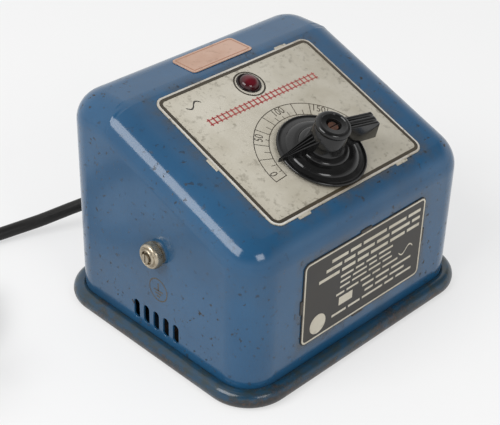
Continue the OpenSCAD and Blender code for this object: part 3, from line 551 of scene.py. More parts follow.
def enamelFinish():
    look = enamelLook
    material = newFinish("stoveEnamel", look["deep"], look["gloss"])
    space = objectSpace()
    colour = mixColour(spots(*look["clouds"]), look["deep"], look["light"])

    # grime in wide clouds and close round both plates
    leaning = slopeSpace()
    byDial = mask(plateDistance(leaning, "Y", *dialSpot), look["dialReach"], 0.5 * mm)
    byData = mask(plateDistance(space, "Z", *dataSpot), look["dataReach"], 0.5 * mm)
    byDial = times(byDial, mask(axisOf(leaning, "Z"), *look["slopeSkin"]))
    byData = times(byData, mask(axisOf(space, "Y"), *look["frontSkin"]))
    patches = noise(objectSpace(place=(0.3, 0, 0)), 60, 8, 0.7)
    near = times(larger(byDial, byData), mask(patches, 0.4, 0.6))
    grime = larger(times(spots(*look["grimePatches"]), 0.5), near)
    colour = mixColour(times(grime, 0.7), colour, look["grime"])

    # dark specks of two sizes, brown at their rims, and fine scratches
    where = larger(spots(*look["chippedParts"]), near)
    large = noise(objectSpace(place=(0.2, 0.6, 0.5)), 250, 6, 0.65)
    rims = times(mask(large, 0.66, 0.68), where)
    chips = times(larger(spots(*look["smallChips"]), mask(large, 0.675, 0.695)), where)
    scratches = noise(objectSpace((50, 900, 420), (0.4, 0.9, 0.2)), 1.0, 2)
    chips = larger(chips, times(mask(scratches, 0.74, 0.78), 0.45))
    colour = mixColour(times(rims, 0.7), colour, look["rust"])
    feed("Base Color", mixColour(chips, colour, look["chip"]))

    gloss = plus(times(grime, 0.2), look["gloss"])
    gloss = plus(gloss, times(mask(patches, 0.35, 0.75), 0.05))
    feed("Roughness", plus(gloss, times(chips, 0.35)))
    peel = plus(times(noise(space, 130, 2), 0.6), times(noise(space, 700, 2), 0.08))
    bump(minus(peel, times(chips, 0.5)), 0.08 * mm, 0.6)
    feed("IOR", 1.5)
    return material


beadLook = {
    "steel": (0.019, 0.018, 0.018),
    "rust": (0.075, 0.038, 0.021),
    "paint": (0.009, 0.044, 0.085),
    "faded": (0.02, 0.036, 0.043),
    "foot": (7.5 * mm, 1 * mm),
}


# The same enamel on the bead, rubbed through in patches and most near the floor.
def wornFinish():
    look = beadLook
    material = newFinish("wornEnamel", look["paint"], 0.3)
    space = objectSpace()
    streaks = noise(objectSpace((1, 1, 3)), 190, 5, 0.6)
    low = times(mask(axisOf(space, "Z"), *look["foot"]), 0.34)
    worn = plus(noise(space, 48, 7, 0.7), times(streaks, 0.35))
    worn = mask(plus(worn, low), 0.74, 0.9)
    paint = mixColour(mask(streaks, 0.4, 0.62), look["paint"], look["faded"])
    metal = mixColour(mask(noise(space, 700, 4, 0.6), 0.5, 0.68), look["steel"], look["rust"])
    feed("Base Color", mixColour(times(worn, 0.88), paint, metal))
    feed("Roughness", plus(times(worn, 0.22), 0.18))
    bump(plus(times(worn, -0.4), times(streaks, 0.5)), 0.15 * mm, 0.7)
    return material


printLook = {
    "blotches": ((0, 0, 0), 28, 6, 0.65, 0.4, 0.7),
    "foxing": ((0.5, 0.1, 0), 300, 4, 0.6, 0.58, 0.72),
    "rimSpots": ((0.9, 0.3, 0), 460, 5, 0.65, 0.56, 0.62),
    "rimWidth": 11 * mm,
    "grain": 900,
}


# Aged print on metal: a plain colour with stains, foxing and a fine grain. With a
# plate's spot on the slope, its rim is stained more.
def printFinish(name, colour, stain, roughness, amount, spot=None):
    look = printLook
    material = newFinish(name, colour, roughness)
    blotch, fox = spots(*look["blotches"]), spots(*look["foxing"])
    if spot:
        near = mask(plateDistance(slopeSpace(), "Y", *spot), -look["rimWidth"], 0)
        blotch = larger(blotch, times(near, 0.6))
        fox = larger(fox, times(times(near, spots(*look["rimSpots"])), 1.6))
    shade = mixColour(times(blotch, amount), colour, stain)
    feed("Base Color", mixColour(times(fox, amount * 0.8), shade, tuple(c * 0.5 for c in stain)))
    feed("Roughness", plus(times(blotch, 0.15), roughness))
    bump(noise(objectSpace(), look["grain"], 3), 0.03 * mm, 0.5)
    return material


# Dust lies in patches, lighter and duller than what it lies on. The answer is the
# roughness.
def addDust(colour, roughness, scale, first, share, lighter):
    dust = spots((0, 0, 0), scale, 6, 0.7, first, 0.75)
    feed("Base Color", mixColour(times(dust, share), colour, tuple(c + lighter for c in colour)))
    return plus(times(dust, 0.2), roughness)


def bakeliteFinish(name, colour, roughness):
    material = newFinish(name, colour, roughness)
    lines = mask(noise(objectSpace((40, 1200, 700), (0.3, 0.2, 0.7)), 1.0, 2), 0.66, 0.7)
    rough = addDust(colour, roughness, 90, 0.5, 0.5, 0.013)
    feed("Roughness", plus(rough, times(lines, 0.15)))
    bump(plus(noise(objectSpace(), 160, 3), times(lines, -0.3)), 0.04 * mm, 0.5)
    return material


def rubberFinish(name, colour, roughness):
    material = newFinish(name, colour, roughness)
    feed("Roughness", addDust(colour, roughness, 70, 0.45, 0.6, 0.018))
    feed("Specular IOR Level", 0.28)
    bump(noise(objectSpace(), 500, 4), 0.06 * mm, 0.6)
    return material


def metalFinish(name, colour, dark, roughness):
    material = newFinish(name, colour, roughness, 0.9)
    tarnish = spots((0, 0, 0), 140, 6, 0.65, 0.4, 0.72)
    brushed = noise(objectSpace(), 500, 3)
    feed("Base Color", mixColour(tarnish, colour, dark))
    feed("Roughness", plus(plus(times(tarnish, 0.25), roughness), times(brushed, 0.08)))
    bump(brushed, 0.02 * mm, 0.5)
    return material


def fibreFinish(name, colour, dark, stretch, scale, roughness):
    material = newFinish(name, colour, roughness)
    grain = noise(objectSpace(stretch), scale, 6, 0.6)
    feed("Base Color", mixColour(mask(grain, 0.35, 0.7), colour, dark))
    bump(grain, 0.06 * mm, 0.6)
    return material


def windingFinish(name, colour, dark, pitch):
    material = newFinish(name, colour, 0.3, 0.5)
    wave = bands(objectSpace(), "X", 0.314 / pitch)
    wave.inputs["Distortion"].default_value = 0.4
    turns = wave.outputs["Fac"]
    # painted shade: the grooves between the turns, where the bump is low, take the dark colour
    feed("Base Color", mixColour(mask(turns, 0.1, 0.6), dark, colour))
    bump(turns, 0.2 * mm, 0.8)
    return material


# Sheet edges seen as fine lines along the stack.
def laminationFinish():
    material = newFinish("laminations", (0.1, 0.095, 0.09), 0.5, 0.4)
    lines = bands(slopeSpace(), "Z", 620).outputs["Fac"]
    rust = spots((0, 0, 0), 80, 6, 0.7, 0.5, 0.7)
    sheets = mixColour(lines, (0.05, 0.048, 0.046), (0.16, 0.15, 0.14))
    feed("Base Color", mixColour(times(rust, 0.5), sheets, (0.16, 0.07, 0.03)))
    bump(lines, 0.15 * mm, 0.8)
    return material


# Red in the middle of the dome, darkened by a painted shade to nearly black at its rim.
def lensFinish():
    material = newFinish("rubyLens", (0.05, 0.0015, 0.004), 0.06)
    fromLens = slopeSpace(place=(0, -45.85 * mm, 0))
    flat = addNode("ShaderNodeMapping", Vector=fromLens, Scale=(1, 1, 0)).outputs["Vector"]
    away = addNode("ShaderNodeVectorMath", {"operation": "LENGTH"}, Vector=flat).outputs["Value"]
    swirl = noise(objectSpace(), 420, 3)
    away = plus(away, times(swirl, 0.6 * mm))
    # painted shade: from 2.4 mm out the dome darkens to nearly black at its rim
    rim = mask(away, 2.4 * mm, 4.9 * mm)
    feed("Base Color", mixColour(rim, (0.1, 0.002, 0.008), (0.006, 0.001, 0.001)))
    bump(swirl, 0.04 * mm, 0.3)
    return material


def glassFinish():
    material = newFinish("bulbGlass", (0.9, 0.9, 0.86), 0.05)
    feed("Transmission Weight", 0.8)
    feed("Roughness", times(noise(objectSpace(), 200, 3), 0.12))
    return material


plain = (1, 1, 1)
finishes = {
    "enamel": enamelFinish(),
    "worn": wornFinish(),
    "dial_print": printFinish("dialCream", (0.515, 0.485, 0.41), (0.31, 0.275, 0.2), 0.3, 0.66, dialSpot),
    "data_print": printFinish("dataCharcoal", (0.014, 0.012, 0.01), (0.06, 0.052, 0.04), 0.4, 0.5),
    "tag_print": printFinish("tagPink", (0.52, 0.34, 0.255), (0.33, 0.16, 0.085), 0.4, 0.6),
    "darkInk": printFinish("darkInk", (0.035, 0.028, 0.018), (0.1, 0.075, 0.04), 0.35, 0.4),
    "thinInk": printFinish("thinInk", (0.03, 0.027, 0.022), (0.2, 0.15, 0.09), 0.4, 0.45),
    "redInk": printFinish("redInk", (0.36, 0.05, 0.05), (0.42, 0.2, 0.15), 0.4, 0.6),
    "orangeInk": printFinish("orangeInk", (0.33, 0.13, 0.06), (0.45, 0.3, 0.2), 0.4, 0.6),
    "lightInk": printFinish("lightInk", (0.6, 0.56, 0.46), (0.35, 0.3, 0.22), 0.4, 0.5),
    "bareEdge": printFinish("plateMargin", (0.62, 0.6, 0.55), (0.24, 0.19, 0.13), 0.3, 0.75),
    "bakelite": bakeliteFinish("blackBakelite", (0.0045, 0.0045, 0.0045), 0.13),
    "brown_bakelite": bakeliteFinish("brownBakelite", (0.06, 0.018, 0.01), 0.22),
    "rusty_steel": fibreFinish("rustySteel", (0.1, 0.035, 0.015), (0.03, 0.014, 0.01), plain, 600, 0.6),
    "zinc": metalFinish("dullZinc", (0.55, 0.55, 0.53), (0.3, 0.29, 0.27), 0.34),
    "bronze": metalFinish("springBronze", (0.65, 0.38, 0.18), (0.3, 0.16, 0.08), 0.3),
    "brass": metalFinish("turnedBrass", (0.66, 0.48, 0.2), (0.36, 0.25, 0.11), 0.28),
    "nickel": metalFinish("wornNickel", (0.5, 0.44, 0.34), (0.13, 0.1, 0.065), 0.25),
    "paxolin": fibreFinish("paxolin", (0.28, 0.14, 0.055), (0.16, 0.07, 0.03), (1, 6, 1), 150, 0.4),
    "presspahn": fibreFinish("pressboard", (0.5, 0.4, 0.24), (0.34, 0.26, 0.15), plain, 220, 0.6),
    "carbon": fibreFinish("pressedCarbon", (0.02, 0.02, 0.02), (0.05, 0.05, 0.05), plain, 900, 0.5),
    "laminations": laminationFinish(),
    "copper": windingFinish("lacqueredWire", (0.42, 0.12, 0.045), (0.12, 0.03, 0.012), 0.7 * mm),
    "bare_copper": metalFinish("baredCopper", (0.85, 0.42, 0.24), (0.4, 0.17, 0.09), 0.22),
    "lens_red": lensFinish(),
    "bulb_glass": glassFinish(),
    "cord_rubber": rubberFinish("cordRubber", (0.012, 0.0115, 0.011), 0.42),
    "tie_strap": rubberFinish("tieStrap", (0.05, 0.05, 0.05), 0.55),
}


def dress(piece, finish, body="case", replaced=()):
    piece.data.materials.clear()
    piece.data.materials.append(finishes[finish])
    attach(piece, body)
    if replaced:
        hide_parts(*replaced)
    return piece


# CAD nodes take the finish of their slot; the bead and the terminal are worn.
def dressNodes():
    finishOf = {part["node"]: part["material_slot"] for part in frame["record"]["subparts"]}
    finishOf.update(base_pan="worn", earth_screw="nickel", earth_washer="nickel")
    for name, node in nodes.items():
        for slot in node.material_slots:
            slot.material = finishes[finishOf[name]]


dressNodes()
print("finishes made")


# Cord.

cordLook = {"diameter": 6 * mm, "exit": (-0.020, 0.0721, 0.015), "around": 5, "along": 4}
leadRoute = [
    (-20, 72, 15), (-21, 78, 14.8), (-23.4, 84.4, 14.2), (-27.3, 89.3, 13), (-33, 92.9, 11.1),
    (-39, 96, 9.2), (-47.5, 100, 6.8), (-56.5, 104, 5), (-66, 107, 4), (-76, 109.7, 3.6),
    (-88, 112.9, 3.6), (-100, 116.1, 3.6), (-109, 118.5, 3.6), (-118, 121, 3.6),
]
tailRoute = [
    (-142, 126, 10), (-153, 124.5, 11.4), (-162.5, 119.5, 13.4), (-169.5, 112, 15.8), (-174, 102.5, 18.3),
    (-175, 93, 20.6), (-174, 84, 22.4), (-171.5, 76, 23.4), (-168, 69, 23.6),
]
coilLook = {
    "centre": (-142, 84), "outer": 42, "foot": 3.6, "start": 75,
    "sector": 90, "turns": 5, "step": 15,
}


def ease(share):
    share = min(1, max(0, share))
    return (1 - math.cos(math.pi * share)) / 2


# Turns of the coil: three side by side going in, a step up, then three coming out.
# A step takes one sector and is done that many sectors before its turn is full.
def coilRoute():
    look = coilLook
    pitch = cordLook["diameter"] / mm
    sector = look["sector"]
    route = []

    def stepped(degrees, turn, early):
        return ease((degrees + early * sector - 360 * turn) / sector)

    for degrees in range(0, 360 * look["turns"] + 1, look["step"]):
        inward = stepped(degrees, 1, 1) + stepped(degrees, 2, 1)
        outward = stepped(degrees, 4, 3) + stepped(degrees, 5, 3)
        x, y = polar(look["outer"] - pitch * (inward - outward), look["start"] + degrees)
        height = look["foot"] + pitch * stepped(degrees, 3, 2)
        route.append((look["centre"][0] + x, look["centre"][1] + y, height))
    return route


def makeCord():
    route = leadRoute + coilRoute() + tailRoute
    data = bpy.data.curves.new("mainsCord", "CURVE")
    data.dimensions = "3D"
    data.bevel_depth = cordLook["diameter"] / 2
    data.bevel_resolution = cordLook["around"]
    data.resolution_u = cordLook["along"]
    spline = data.splines.new("BEZIER")
    spline.bezier_points.add(len(route) - 1)
    for point, place in zip(spline.bezier_points, route):
        point.co = Vector(place) * mm
        point.handle_left_type = "AUTO"
        point.handle_right_type = "AUTO"
    cord = addObject("mainsCord", data)
    data.materials.append(finishes["cord_rubber"])
    # the photo's enamel reflects no coil
    for piece in (cord, nodes["cord_tie"], nodes["plug_body"], nodes["plug_pins"], nodes["plug_screw"]):
        piece.visible_glossy = False
    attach(cord, "case")
    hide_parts("cord", "cord_coil", "cord_tail")


makeCord()


# Case. The slope's frame has its origin under the knob and its Z out of the slope.

slopeFrame = Matrix((
    (1, 0, 0, slopeOrigin.x),
    (0, slopeAxis.z, slopeAxis.y, slopeOrigin.y),
    (0, -slopeAxis.y, slopeAxis.z, slopeOrigin.z),
    (0, 0, 0, 1),
))
caseLow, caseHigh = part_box("housing")

caseLook = {
    "cornerRadius": 14.5 * mm,
    "edgeRadius": 12.6 * mm,
    "cornerSteps": 14,
    "edgeSteps": 12,
    "sheet": 1 * mm,
    "slotWidth": 3.4 * mm,
    "slotLength": 8.9 * mm,
    "slotPitch": 5.9 * mm,
    "slotCount": 5,
    "shaftHole": 9.5 * mm,
    "lampHole": 5.7 * mm,
    "earthHole": 2.2 * mm,
    "cordHole": 5.95 * mm,
}


# The edges between the top faces and their neighbours. Each weight gives its bevel
# the same radius, whatever the angle it turns.
def roundTopEdges(case):
    editMesh = bmesh.new()
    editMesh.from_mesh(case.data)
    layer = editMesh.edges.layers.float.get("bevel_weight_edge")
    layer = layer or editMesh.edges.layers.float.new("bevel_weight_edge")
    for edge in editMesh.edges:
        if len(edge.link_faces) != 2:
            continue
        first, second = (face.normal for face in edge.link_faces)
        meetsTop = max(first.z, second.z) > 0.5 and min(first.z, second.z) > -0.5
        turn = first.angle(second)
        if meetsTop and turn > math.radians(5):
            edge[layer] = min(1.0, math.tan(turn / 2))
    editMesh.to_mesh(case.data)
    editMesh.free()
    useModifier(case, "BEVEL", limit_method="WEIGHT", width=caseLook["edgeRadius"],
                segments=caseLook["edgeSteps"])


def slotCutter():
    look = caseLook
    slots = []
    carrier = treeOf(nodes["housing"])
    middle = (placeOn("firstSlot", carrier) + placeOn("lastSlot", carrier)) / 2
    straight = look["slotLength"] - look["slotWidth"]
    for y in rowOf(look["slotCount"], look["slotPitch"]):
        slot = addRod("slot", look["slotWidth"] / 2, -100 * mm, 100 * mm, 24)
        settle(slot, spin(90, "Y"))
        editAll(slot)
        selectWhere(slot, "verts", lambda vert: vert.co.z > 0.01 * mm)
        bpy.ops.transform.translate(value=(0, 0, straight))
        finishEdit(slot)
        slots.append(settle(slot, shift(0, middle.y + y, middle.z - straight / 2)))
    return joinPieces("slots", slots)


def makeCase():
    look = caseLook
    foldY = slopeOrigin.y + (caseHigh.z - slopeOrigin.z) * slopeAxis.z / -slopeAxis.y
    frontHeight = slopeOrigin.z + (caseLow.y - slopeOrigin.y) * (-slopeAxis.y / slopeAxis.z)
    case = addCube("caseShell", caseLow, caseHigh)
    editAll(case)
    bpy.ops.mesh.bisect(plane_co=(0, foldY, 0), plane_no=(0, 1, 0))
    selectWhere(case, "verts", lambda vert: vert.co.y < foldY - 10 * mm and vert.co.z > 50 * mm)
    bpy.ops.transform.translate(value=(0, 0, frontHeight - caseHigh.z))

    def isCorner(edge):
        first, second = (vert.co for vert in edge.verts)
        upright = abs(first.z - second.z) > 50 * mm and (first - second).xy.length < 1 * mm
        return upright and abs(abs(first.y) - caseHigh.y) < 1 * mm

    selectWhere(case, "edges", isCorner)
    bpy.ops.mesh.bevel(offset=look["cornerRadius"], segments=look["cornerSteps"], affect="EDGES")
    finishEdit(case)
    fixNormals(case)
    roundTopEdges(case)
    editAll(case)
    selectWhere(case, "faces", lambda face: face.normal.z < -0.9)
    bpy.ops.mesh.delete(type="FACE")
    finishEdit(case)
    fixNormals(case)
    useModifier(case, "SOLIDIFY", thickness=look["sheet"], offset=-1, use_even_offset=True)
    cutWith(case, slotCutter())
    lamp = slopeFrame.inverted() @ middleOfNode("lamp_lens")
    earth, boot = middleOfNode("earth_screw"), middleOfNode("cord_boot")
    cutHole(case, look["shaftHole"], slopeFrame)
    cutHole(case, look["lampHole"], slopeFrame @ shift(lamp.x, lamp.y, 0))
    cutHole(case, look["earthHole"], shift(caseLow.x, earth.y, earth.z) @ spin(90, "Y"), 32)
    cutHole(case, look["cordHole"], shift(boot.x, caseHigh.y, boot.z) @ spin(90, "X"), 32)
    bevelEdges(case, 0.12 * mm, 1, 60)
    smooth(case, 40, weighted=True)
    dress(case, "enamel", "case", ["housing"])
    print("case made,", len(case.data.polygons), "faces")
    return case


caseShell = makeCase()


# Base pan, drawn in millimetres.

panLook = {
    "reach": 5.3, "crest": 7.8, "middle": 1.6, "seam": 0.25, "floor": 3.6, "under": 2.4, "curl": -0.6,
    "stepDeg": 8, "overDeg": 112, "underDeg": 96, "edge": 0.02,
    "slots": 7, "slotPitch": 6, "slotWidth": 2.6, "slotLength": 28,
}


# The pan's edge is drawn from its widest line: upwards over the bead into the
# seam along the case, and downwards under the bead to the pan's floor.
def makePan():
    look = panLook
    reach, half, edge = look["reach"], look["crest"] / 2, look["edge"]
    width = (caseHigh.x - caseLow.x) / mm + 2 * reach
    depth = (caseHigh.y - caseLow.y) / mm + 2 * reach

    def along(degrees):
        x, z = polar(1, degrees)
        return look["middle"] + (reach - look["middle"]) * x, half + half * z

    over = [along(a) for a in range(0, look["overDeg"] + 1, look["stepDeg"])]
    over += [(look["seam"], look["crest"] * 0.8), (look["seam"] - edge, look["floor"])]
    under = [along(-a) for a in range(0, look["underDeg"] + 1, look["stepDeg"])]
    under += [(look["curl"], look["under"] / 2), (look["curl"] - edge, look["under"])]
    pan = roundedSheet("basePan", width, depth, caseLook["cornerRadius"] / mm + reach, 20)
    extrudeUp(pan, edge)
    settle(pan, shift(0, 0, half))
    editAll(pan)
    for side, route in ((1, over), (-1, under)):
        selectWhere(pan, "faces", lambda face: face.normal.z * side > 0.9)
        for (x, z), (nextX, nextZ) in zip(route, route[1:]):
            inward = max(x - nextX, 0.005)
            bpy.ops.mesh.inset(thickness=inward, depth=(nextZ - z) * side, use_even_offset=True)
    finishEdit(pan)
    halfWidth, halfLength = look["slotWidth"] / 2, look["slotLength"] / 2
    slots = [addCube("slot", (x - halfWidth, -halfLength, 1), (x + halfWidth, halfLength, 5))
             for x in rowOf(look["slots"], look["slotPitch"])]
    cutWith(pan, joinPieces("slots", slots))
    dress(fromMillimetres(pan, Matrix(), 40), "worn", "case", ["base_pan"])
    print("pan made,", len(pan.data.polygons), "faces")
    return pan


basePan = makePan()


# Plates. Their tabs bend over into the sheet, and each is (x, y, degrees).

plateLook = {
    "thickness": 0.5 * mm,
    "edge": 0.18 * mm,
    "tabWidth": 6.4 * mm,
    "tabReach": 1.1 * mm,
    "tabDepth": 0.9 * mm,
    "tabBend": 0.42 * mm,
}
printHeight = plateLook["thickness"] + 0.03 * mm
dialLook = {
    "half": dialSpot[1], "radius": 4.5 * mm, "middle": 17.1 * mm,
    "lineIn": 0.95 * mm, "lineRadius": 3.55 * mm, "line": 1.5 * mm,
    "tabs": ((28.7 * mm, 36.8 * mm, 90), (-28.8 * mm, -36.8 * mm, -90), (28.8 * mm, -36.8 * mm, -90),
             (-43.8 * mm, -0.6 * mm, 180)),
    "lamp": 43.2 * mm, "lampOuter": 7 * mm, "lampInner": 6.25 * mm,
    "scaleOuter": 27.8 * mm, "scaleInner": 21.1 * mm, "scaleLine": 0.38 * mm,
    "scaleStart": 185, "scaleEnd": -4, "zeroAt": 177.5, "stepDeg": 8.7, "steps": 20,
    "numeral": 3.5 * mm, "numeralOut": 0.9 * mm,
}
dataLook = {
    "half": dataSpot[1], "radius": 3 * mm, "lineIn": 0.5 * mm, "lineRadius": 2.5 * mm, "line": 0.8 * mm,
    "tabs": ((-1 * mm, 19.75 * mm, 90), (-2.3 * mm, -19.75 * mm, -90), (-36.8 * mm, 0, 180),
             (36.8 * mm, 0, 0)),
    "disc": 4.6 * mm, "patch": (8.2 * mm, 4 * mm), "clear": (4.5, 2.3), "gap": 1.4,
    # left, right, height and thickness of each row, and the lengths of its words
    "rows": (
        (-21, 33.5, 14.4, 1.5, (6, 4, 9, 7, 5)),
        (-24, 33.5, 10.9, 1.5, (7, 5, 8, 6, 9, 4)),
        (-28, 33.5, 7.4, 1.5, (9, 6, 5, 8, 7, 6)),
        (-15, 17, 4.1, 1.0, (6, 4, 5, 7)),
        (-15, 16, 1.5, 0.9, (5, 7, 4, 6)),
        (-15, 17, -1.1, 0.9, (4, 6, 5, 4)),
        (-17, 21, -4.1, 1.0, (4, 6, 5, 4, 8)),
        (-19, 30, -7.3, 1.1, (4, 7, 5, 6, 9)),
        (-19, 26, -10.4, 1.1, (5, 8, 4, 6, 7)),
        (-19, 31, -13.5, 1.1, (6, 5, 9, 4, 7)),
    ),
}
tagLook = {
    "half": (17 * mm, 7.2 * mm), "radius": 2 * mm, "lineIn": 1.1 * mm, "lineRadius": 0.8 * mm,
    "line": 0.5 * mm, "tabs": (), "middle": 35.2 * mm,
}
dataFace = shift(0, caseLow.y, dataSpot[0][1]) @ spin(90, "X")
tagFace = shift(0, tagLook["middle"], caseHigh.z)


def makePlate(name, look, face):
    halfWidth, halfHeight = look["half"]
    plate = roundedSheet(name, 2 * halfWidth, 2 * halfHeight, look["radius"])
    extrudeUp(plate, plateLook["thickness"])
    parts = [plate]
    halfTab = plateLook["tabWidth"] / 2
    for x, y, degrees in look["tabs"]:
        tab = addCube("tab", (-1 * mm, -halfTab, -plateLook["tabDepth"]),
                      (plateLook["tabReach"], halfTab, plateLook["thickness"] * 0.96))
        editAll(tab)
        selectWhere(tab, "edges", lambda edge: all(v.co.x > 0 and v.co.z > 0 for v in edge.verts))
        bpy.ops.mesh.bevel(offset=plateLook["tabBend"], segments=3, affect="EDGES")
        finishEdit(tab)
        parts.append(settle(tab, shift(x, y, 0) @ spin(degrees, "Z")))
    plate = joinPieces(name, parts)
    bevelEdges(plate, plateLook["edge"], 2, 50)
    smooth(plate, 40, weighted=True)
    return settle(plate, face)


# Lays a flat print just above a plate's face.
def layPrint(piece, face, finish, x=0, y=0):
    return dress(settle(piece, face @ shift(x, y, printHeight)), finish)


# A printed line along a plate's edge: a rounded sheet without its middle.
def edgeLine(name, look, face, finish, inward=None, radius=None, line=None):
    inward = inward or look["lineIn"]
    width, height = (2 * (half - inward) for half in look["half"])
    piece = roundedSheet(name, width, height, radius or look["lineRadius"])
    editAll(piece)
    bpy.ops.mesh.inset(thickness=line or look["line"], use_even_offset=True)
    bpy.ops.mesh.delete(type="FACE")
    layPrint(finishEdit(piece), face, finish)


def dialScale():
    look = dialLook
    outer, inner, line = look["scaleOuter"], look["scaleInner"], look["scaleLine"]
    sweep = (look["scaleEnd"], look["scaleStart"])
    parts = [printRing("outerArc", outer, outer - line, *sweep)]
    parts.append(printRing("innerArc", inner + line, inner, *sweep))

    def tick(degrees, share, width):
        length = share * (outer - inner)
        parts.append(addPlane("tick", length, width, *polar(inner + length / 2, degrees), degrees))

    for degrees in sweep:
        tick(degrees, 1, line)
    for step in range(look["steps"] + 1):
        degrees = look["zeroAt"] - step * look["stepDeg"]
        if step % 5 == 0:
            tick(degrees, 0.24, line * 0.8)
            place = polar((outer + inner) / 2 + look["numeralOut"], degrees)
            parts.append(printText("numeral", str(step * 10), look["numeral"], place, degrees - 90))
        elif step % 2 == 0:
            tick(degrees, 1, line * 0.9)
        else:
            tick(degrees, 0.42, line * 0.8)
    return joinPieces("dialScale", parts)


def makeDial():
    look = dialLook
    face = slopeFrame @ shift(0, look["middle"], 0)
    plate = makePlate("dialPlate", look, face)
    cutHole(plate, caseLook["shaftHole"], slopeFrame)
    smooth(plate, 40)
    dress(plate, "dial_print", "case", ["dial_plate"])
    edgeLine("dialBorder", look, face, "darkInk")
    edge = plateLook["edge"]
    edgeLine("dialMargin", look, face, "bareEdge", edge, look["radius"] - edge, look["lineIn"] - edge)
    layPrint(dialScale(), slopeFrame, "thinInk")
    lampRing = printRing("lampRing", look["lampOuter"], look["lampInner"])
    layPrint(lampRing, slopeFrame, "darkInk", y=look["lamp"])
    lampHit = slopeFrame.inverted() @ placeOn("lamp", treeOf(plate))
    print("lamp meets the plate at", [round(v / mm, 1) for v in lampHit])


makeDial()

trackLook = {"half": 31 * mm, "place": 34 * mm, "gauge": 2.3 * mm, "rail": 0.5 * mm, "sleeper": 3.9 * mm,
             "width": 0.8 * mm, "count": 25}


# A printed track, two rails on sleepers, fills the place of the name.
def makeTrackPrint():
    look = trackLook
    step = 2 * (look["half"] - 1 * mm) / (look["count"] - 1)
    rails = [(2 * look["half"], look["rail"], 0, y) for y in rowOf(2, look["gauge"])]
    sleepers = [(look["width"], look["sleeper"], x, 0) for x in rowOf(look["count"], step)]
    layPrint(printBars("trackPrint", rails + sleepers), slopeFrame, "redInk", y=look["place"])


makeTrackPrint()


# A small wave, the common sign for alternating current.
def makeWave(name, length, height, line):
    columns = 24
    deselectAll()
    bpy.ops.mesh.primitive_grid_add(x_subdivisions=columns, y_subdivisions=1, size=1)
    wave = named(name, (length, line, 1))
    editAll(wave)
    for column in range(columns + 1):
        x = (column / columns - 0.5) * length
        selectWhere(wave, "verts", lambda vert: abs(vert.co.x - x) < length / 100)
        bpy.ops.transform.translate(value=(0, height / 2 * math.sin(2 * math.pi * x / length), 0))
    return finishEdit(wave)


layPrint(makeWave("supplySign", 8 * mm, 2.8 * mm, 0.75 * mm), slopeFrame, "thinInk", -30 * mm, 44.5 * mm)


# Rows of plain dashes stand where the plate had its words, and leave the patch clear.
def dataRows(patchX, patchY):
    look = dataLook
    clearX, clearY = look["clear"]
    dashes = []
    for left, right, y, tall, words in look["rows"]:
        scale = (right - left - look["gap"] * (len(words) - 1)) / sum(words)
        start = left
        for word in words:
            width = word * scale
            x = start + width / 2
            if abs(x - patchX / mm) > width / 2 + clearX or abs(y - patchY / mm) > tall / 2 + clearY:
                dashes.append((width * mm, tall * mm, x * mm, y * mm))
            start += width + look["gap"]
    return printBars("dataRows", dashes)


def makeDataPlate():
    look = dataLook
    plate = makePlate("dataPlate", look, dataFace)
    dress(plate, "data_print", "case", ["data_plate"])
    edgeLine("dataBorder", look, dataFace, "lightInk")
    carrier = treeOf(plate)
    disc, patch = (dataFace.inverted() @ placeOn(name, carrier) for name in ("dataDisc", "dataPatch"))
    layPrint(printRing("dataDisc", look["disc"], 0.02 * mm), dataFace, "lightInk", disc.x, disc.y)
    layPrint(roundedSheet("dataPatch", *look["patch"], 0.3 * mm, 3), dataFace, "lightInk", patch.x, patch.y)
    layPrint(dataRows(patch.x, patch.y), dataFace, "lightInk")
    layPrint(makeWave("dataWave", 9 * mm, 3.2 * mm, 0.7 * mm), dataFace, "lightInk", 26 * mm, -2 * mm)


def makeTag():
    dress(makePlate("roofTag", tagLook, tagFace), "tag_print", "case", ["number_tag"])
    edgeLine("tagBorder", tagLook, tagFace, "orangeInk")


makeDataPlate()
makeTag()
print("plates made")


# Knob, drawn in millimetres with its foot's height over the dial as "foot".

knobLook = {
    "foot": 1.6, "skirt": 19.0, "neck": 6.7, "cap": 7.45, "top": 17.7, "bore": 3.06, "boreTop": 12.5,
    "gripWidth": 6.2, "gripReach": 23.2, "gripTop": 15.8, "pointerReach": 20.8, "pointerTop": 11.6,
    "gripGrooves": (-1.35, 1.35), "pointerGrooves": (-1.7, 0, 1.7), "grooveHalf": 0.6, "grooveDepth": 1.0,
    "turn": 167.5, "tipShare": 0.08,
}


# Grooves run along the top of a bar whose length lies on X.
def grooveTop(piece, grooves, lowest):
    half = knobLook["grooveHalf"]
    editAll(piece)
    for groove in grooves:
        for line in (groove - half, groove, groove + half):
            bpy.ops.mesh.select_all(action="SELECT")
            bpy.ops.mesh.bisect(plane_co=(0, line, 0), plane_no=(0, 1, 0))
    selectWhere(piece, "verts", lambda vert: vert.co.z > lowest(vert.co.x)
                and any(abs(vert.co.y - groove) < 0.01 for groove in grooves))
    bpy.ops.transform.translate(value=(0, 0, -knobLook["grooveDepth"]))
    return finishEdit(piece)


def makeGrip():
    look = knobLook
    foot, top, reach = look["foot"], look["gripTop"], look["gripReach"]
    outline = [(0, foot + 2.2), (9.5, foot + 2.4), (12.5, foot + 3.6), (15.5, foot + 4.3)]
    outline += [(reach, foot + 5), (reach - 1.4, top - 0.9), (reach - 2.4, top), (0, top)]
    grip = slab("grip", outline, look["gripWidth"])
    grooveTop(grip, look["gripGrooves"], lambda x: top - 1.2)
    bevelEdges(grip, 0.22, 2, 30)
    return settle(grip, spin(180, "Z"))


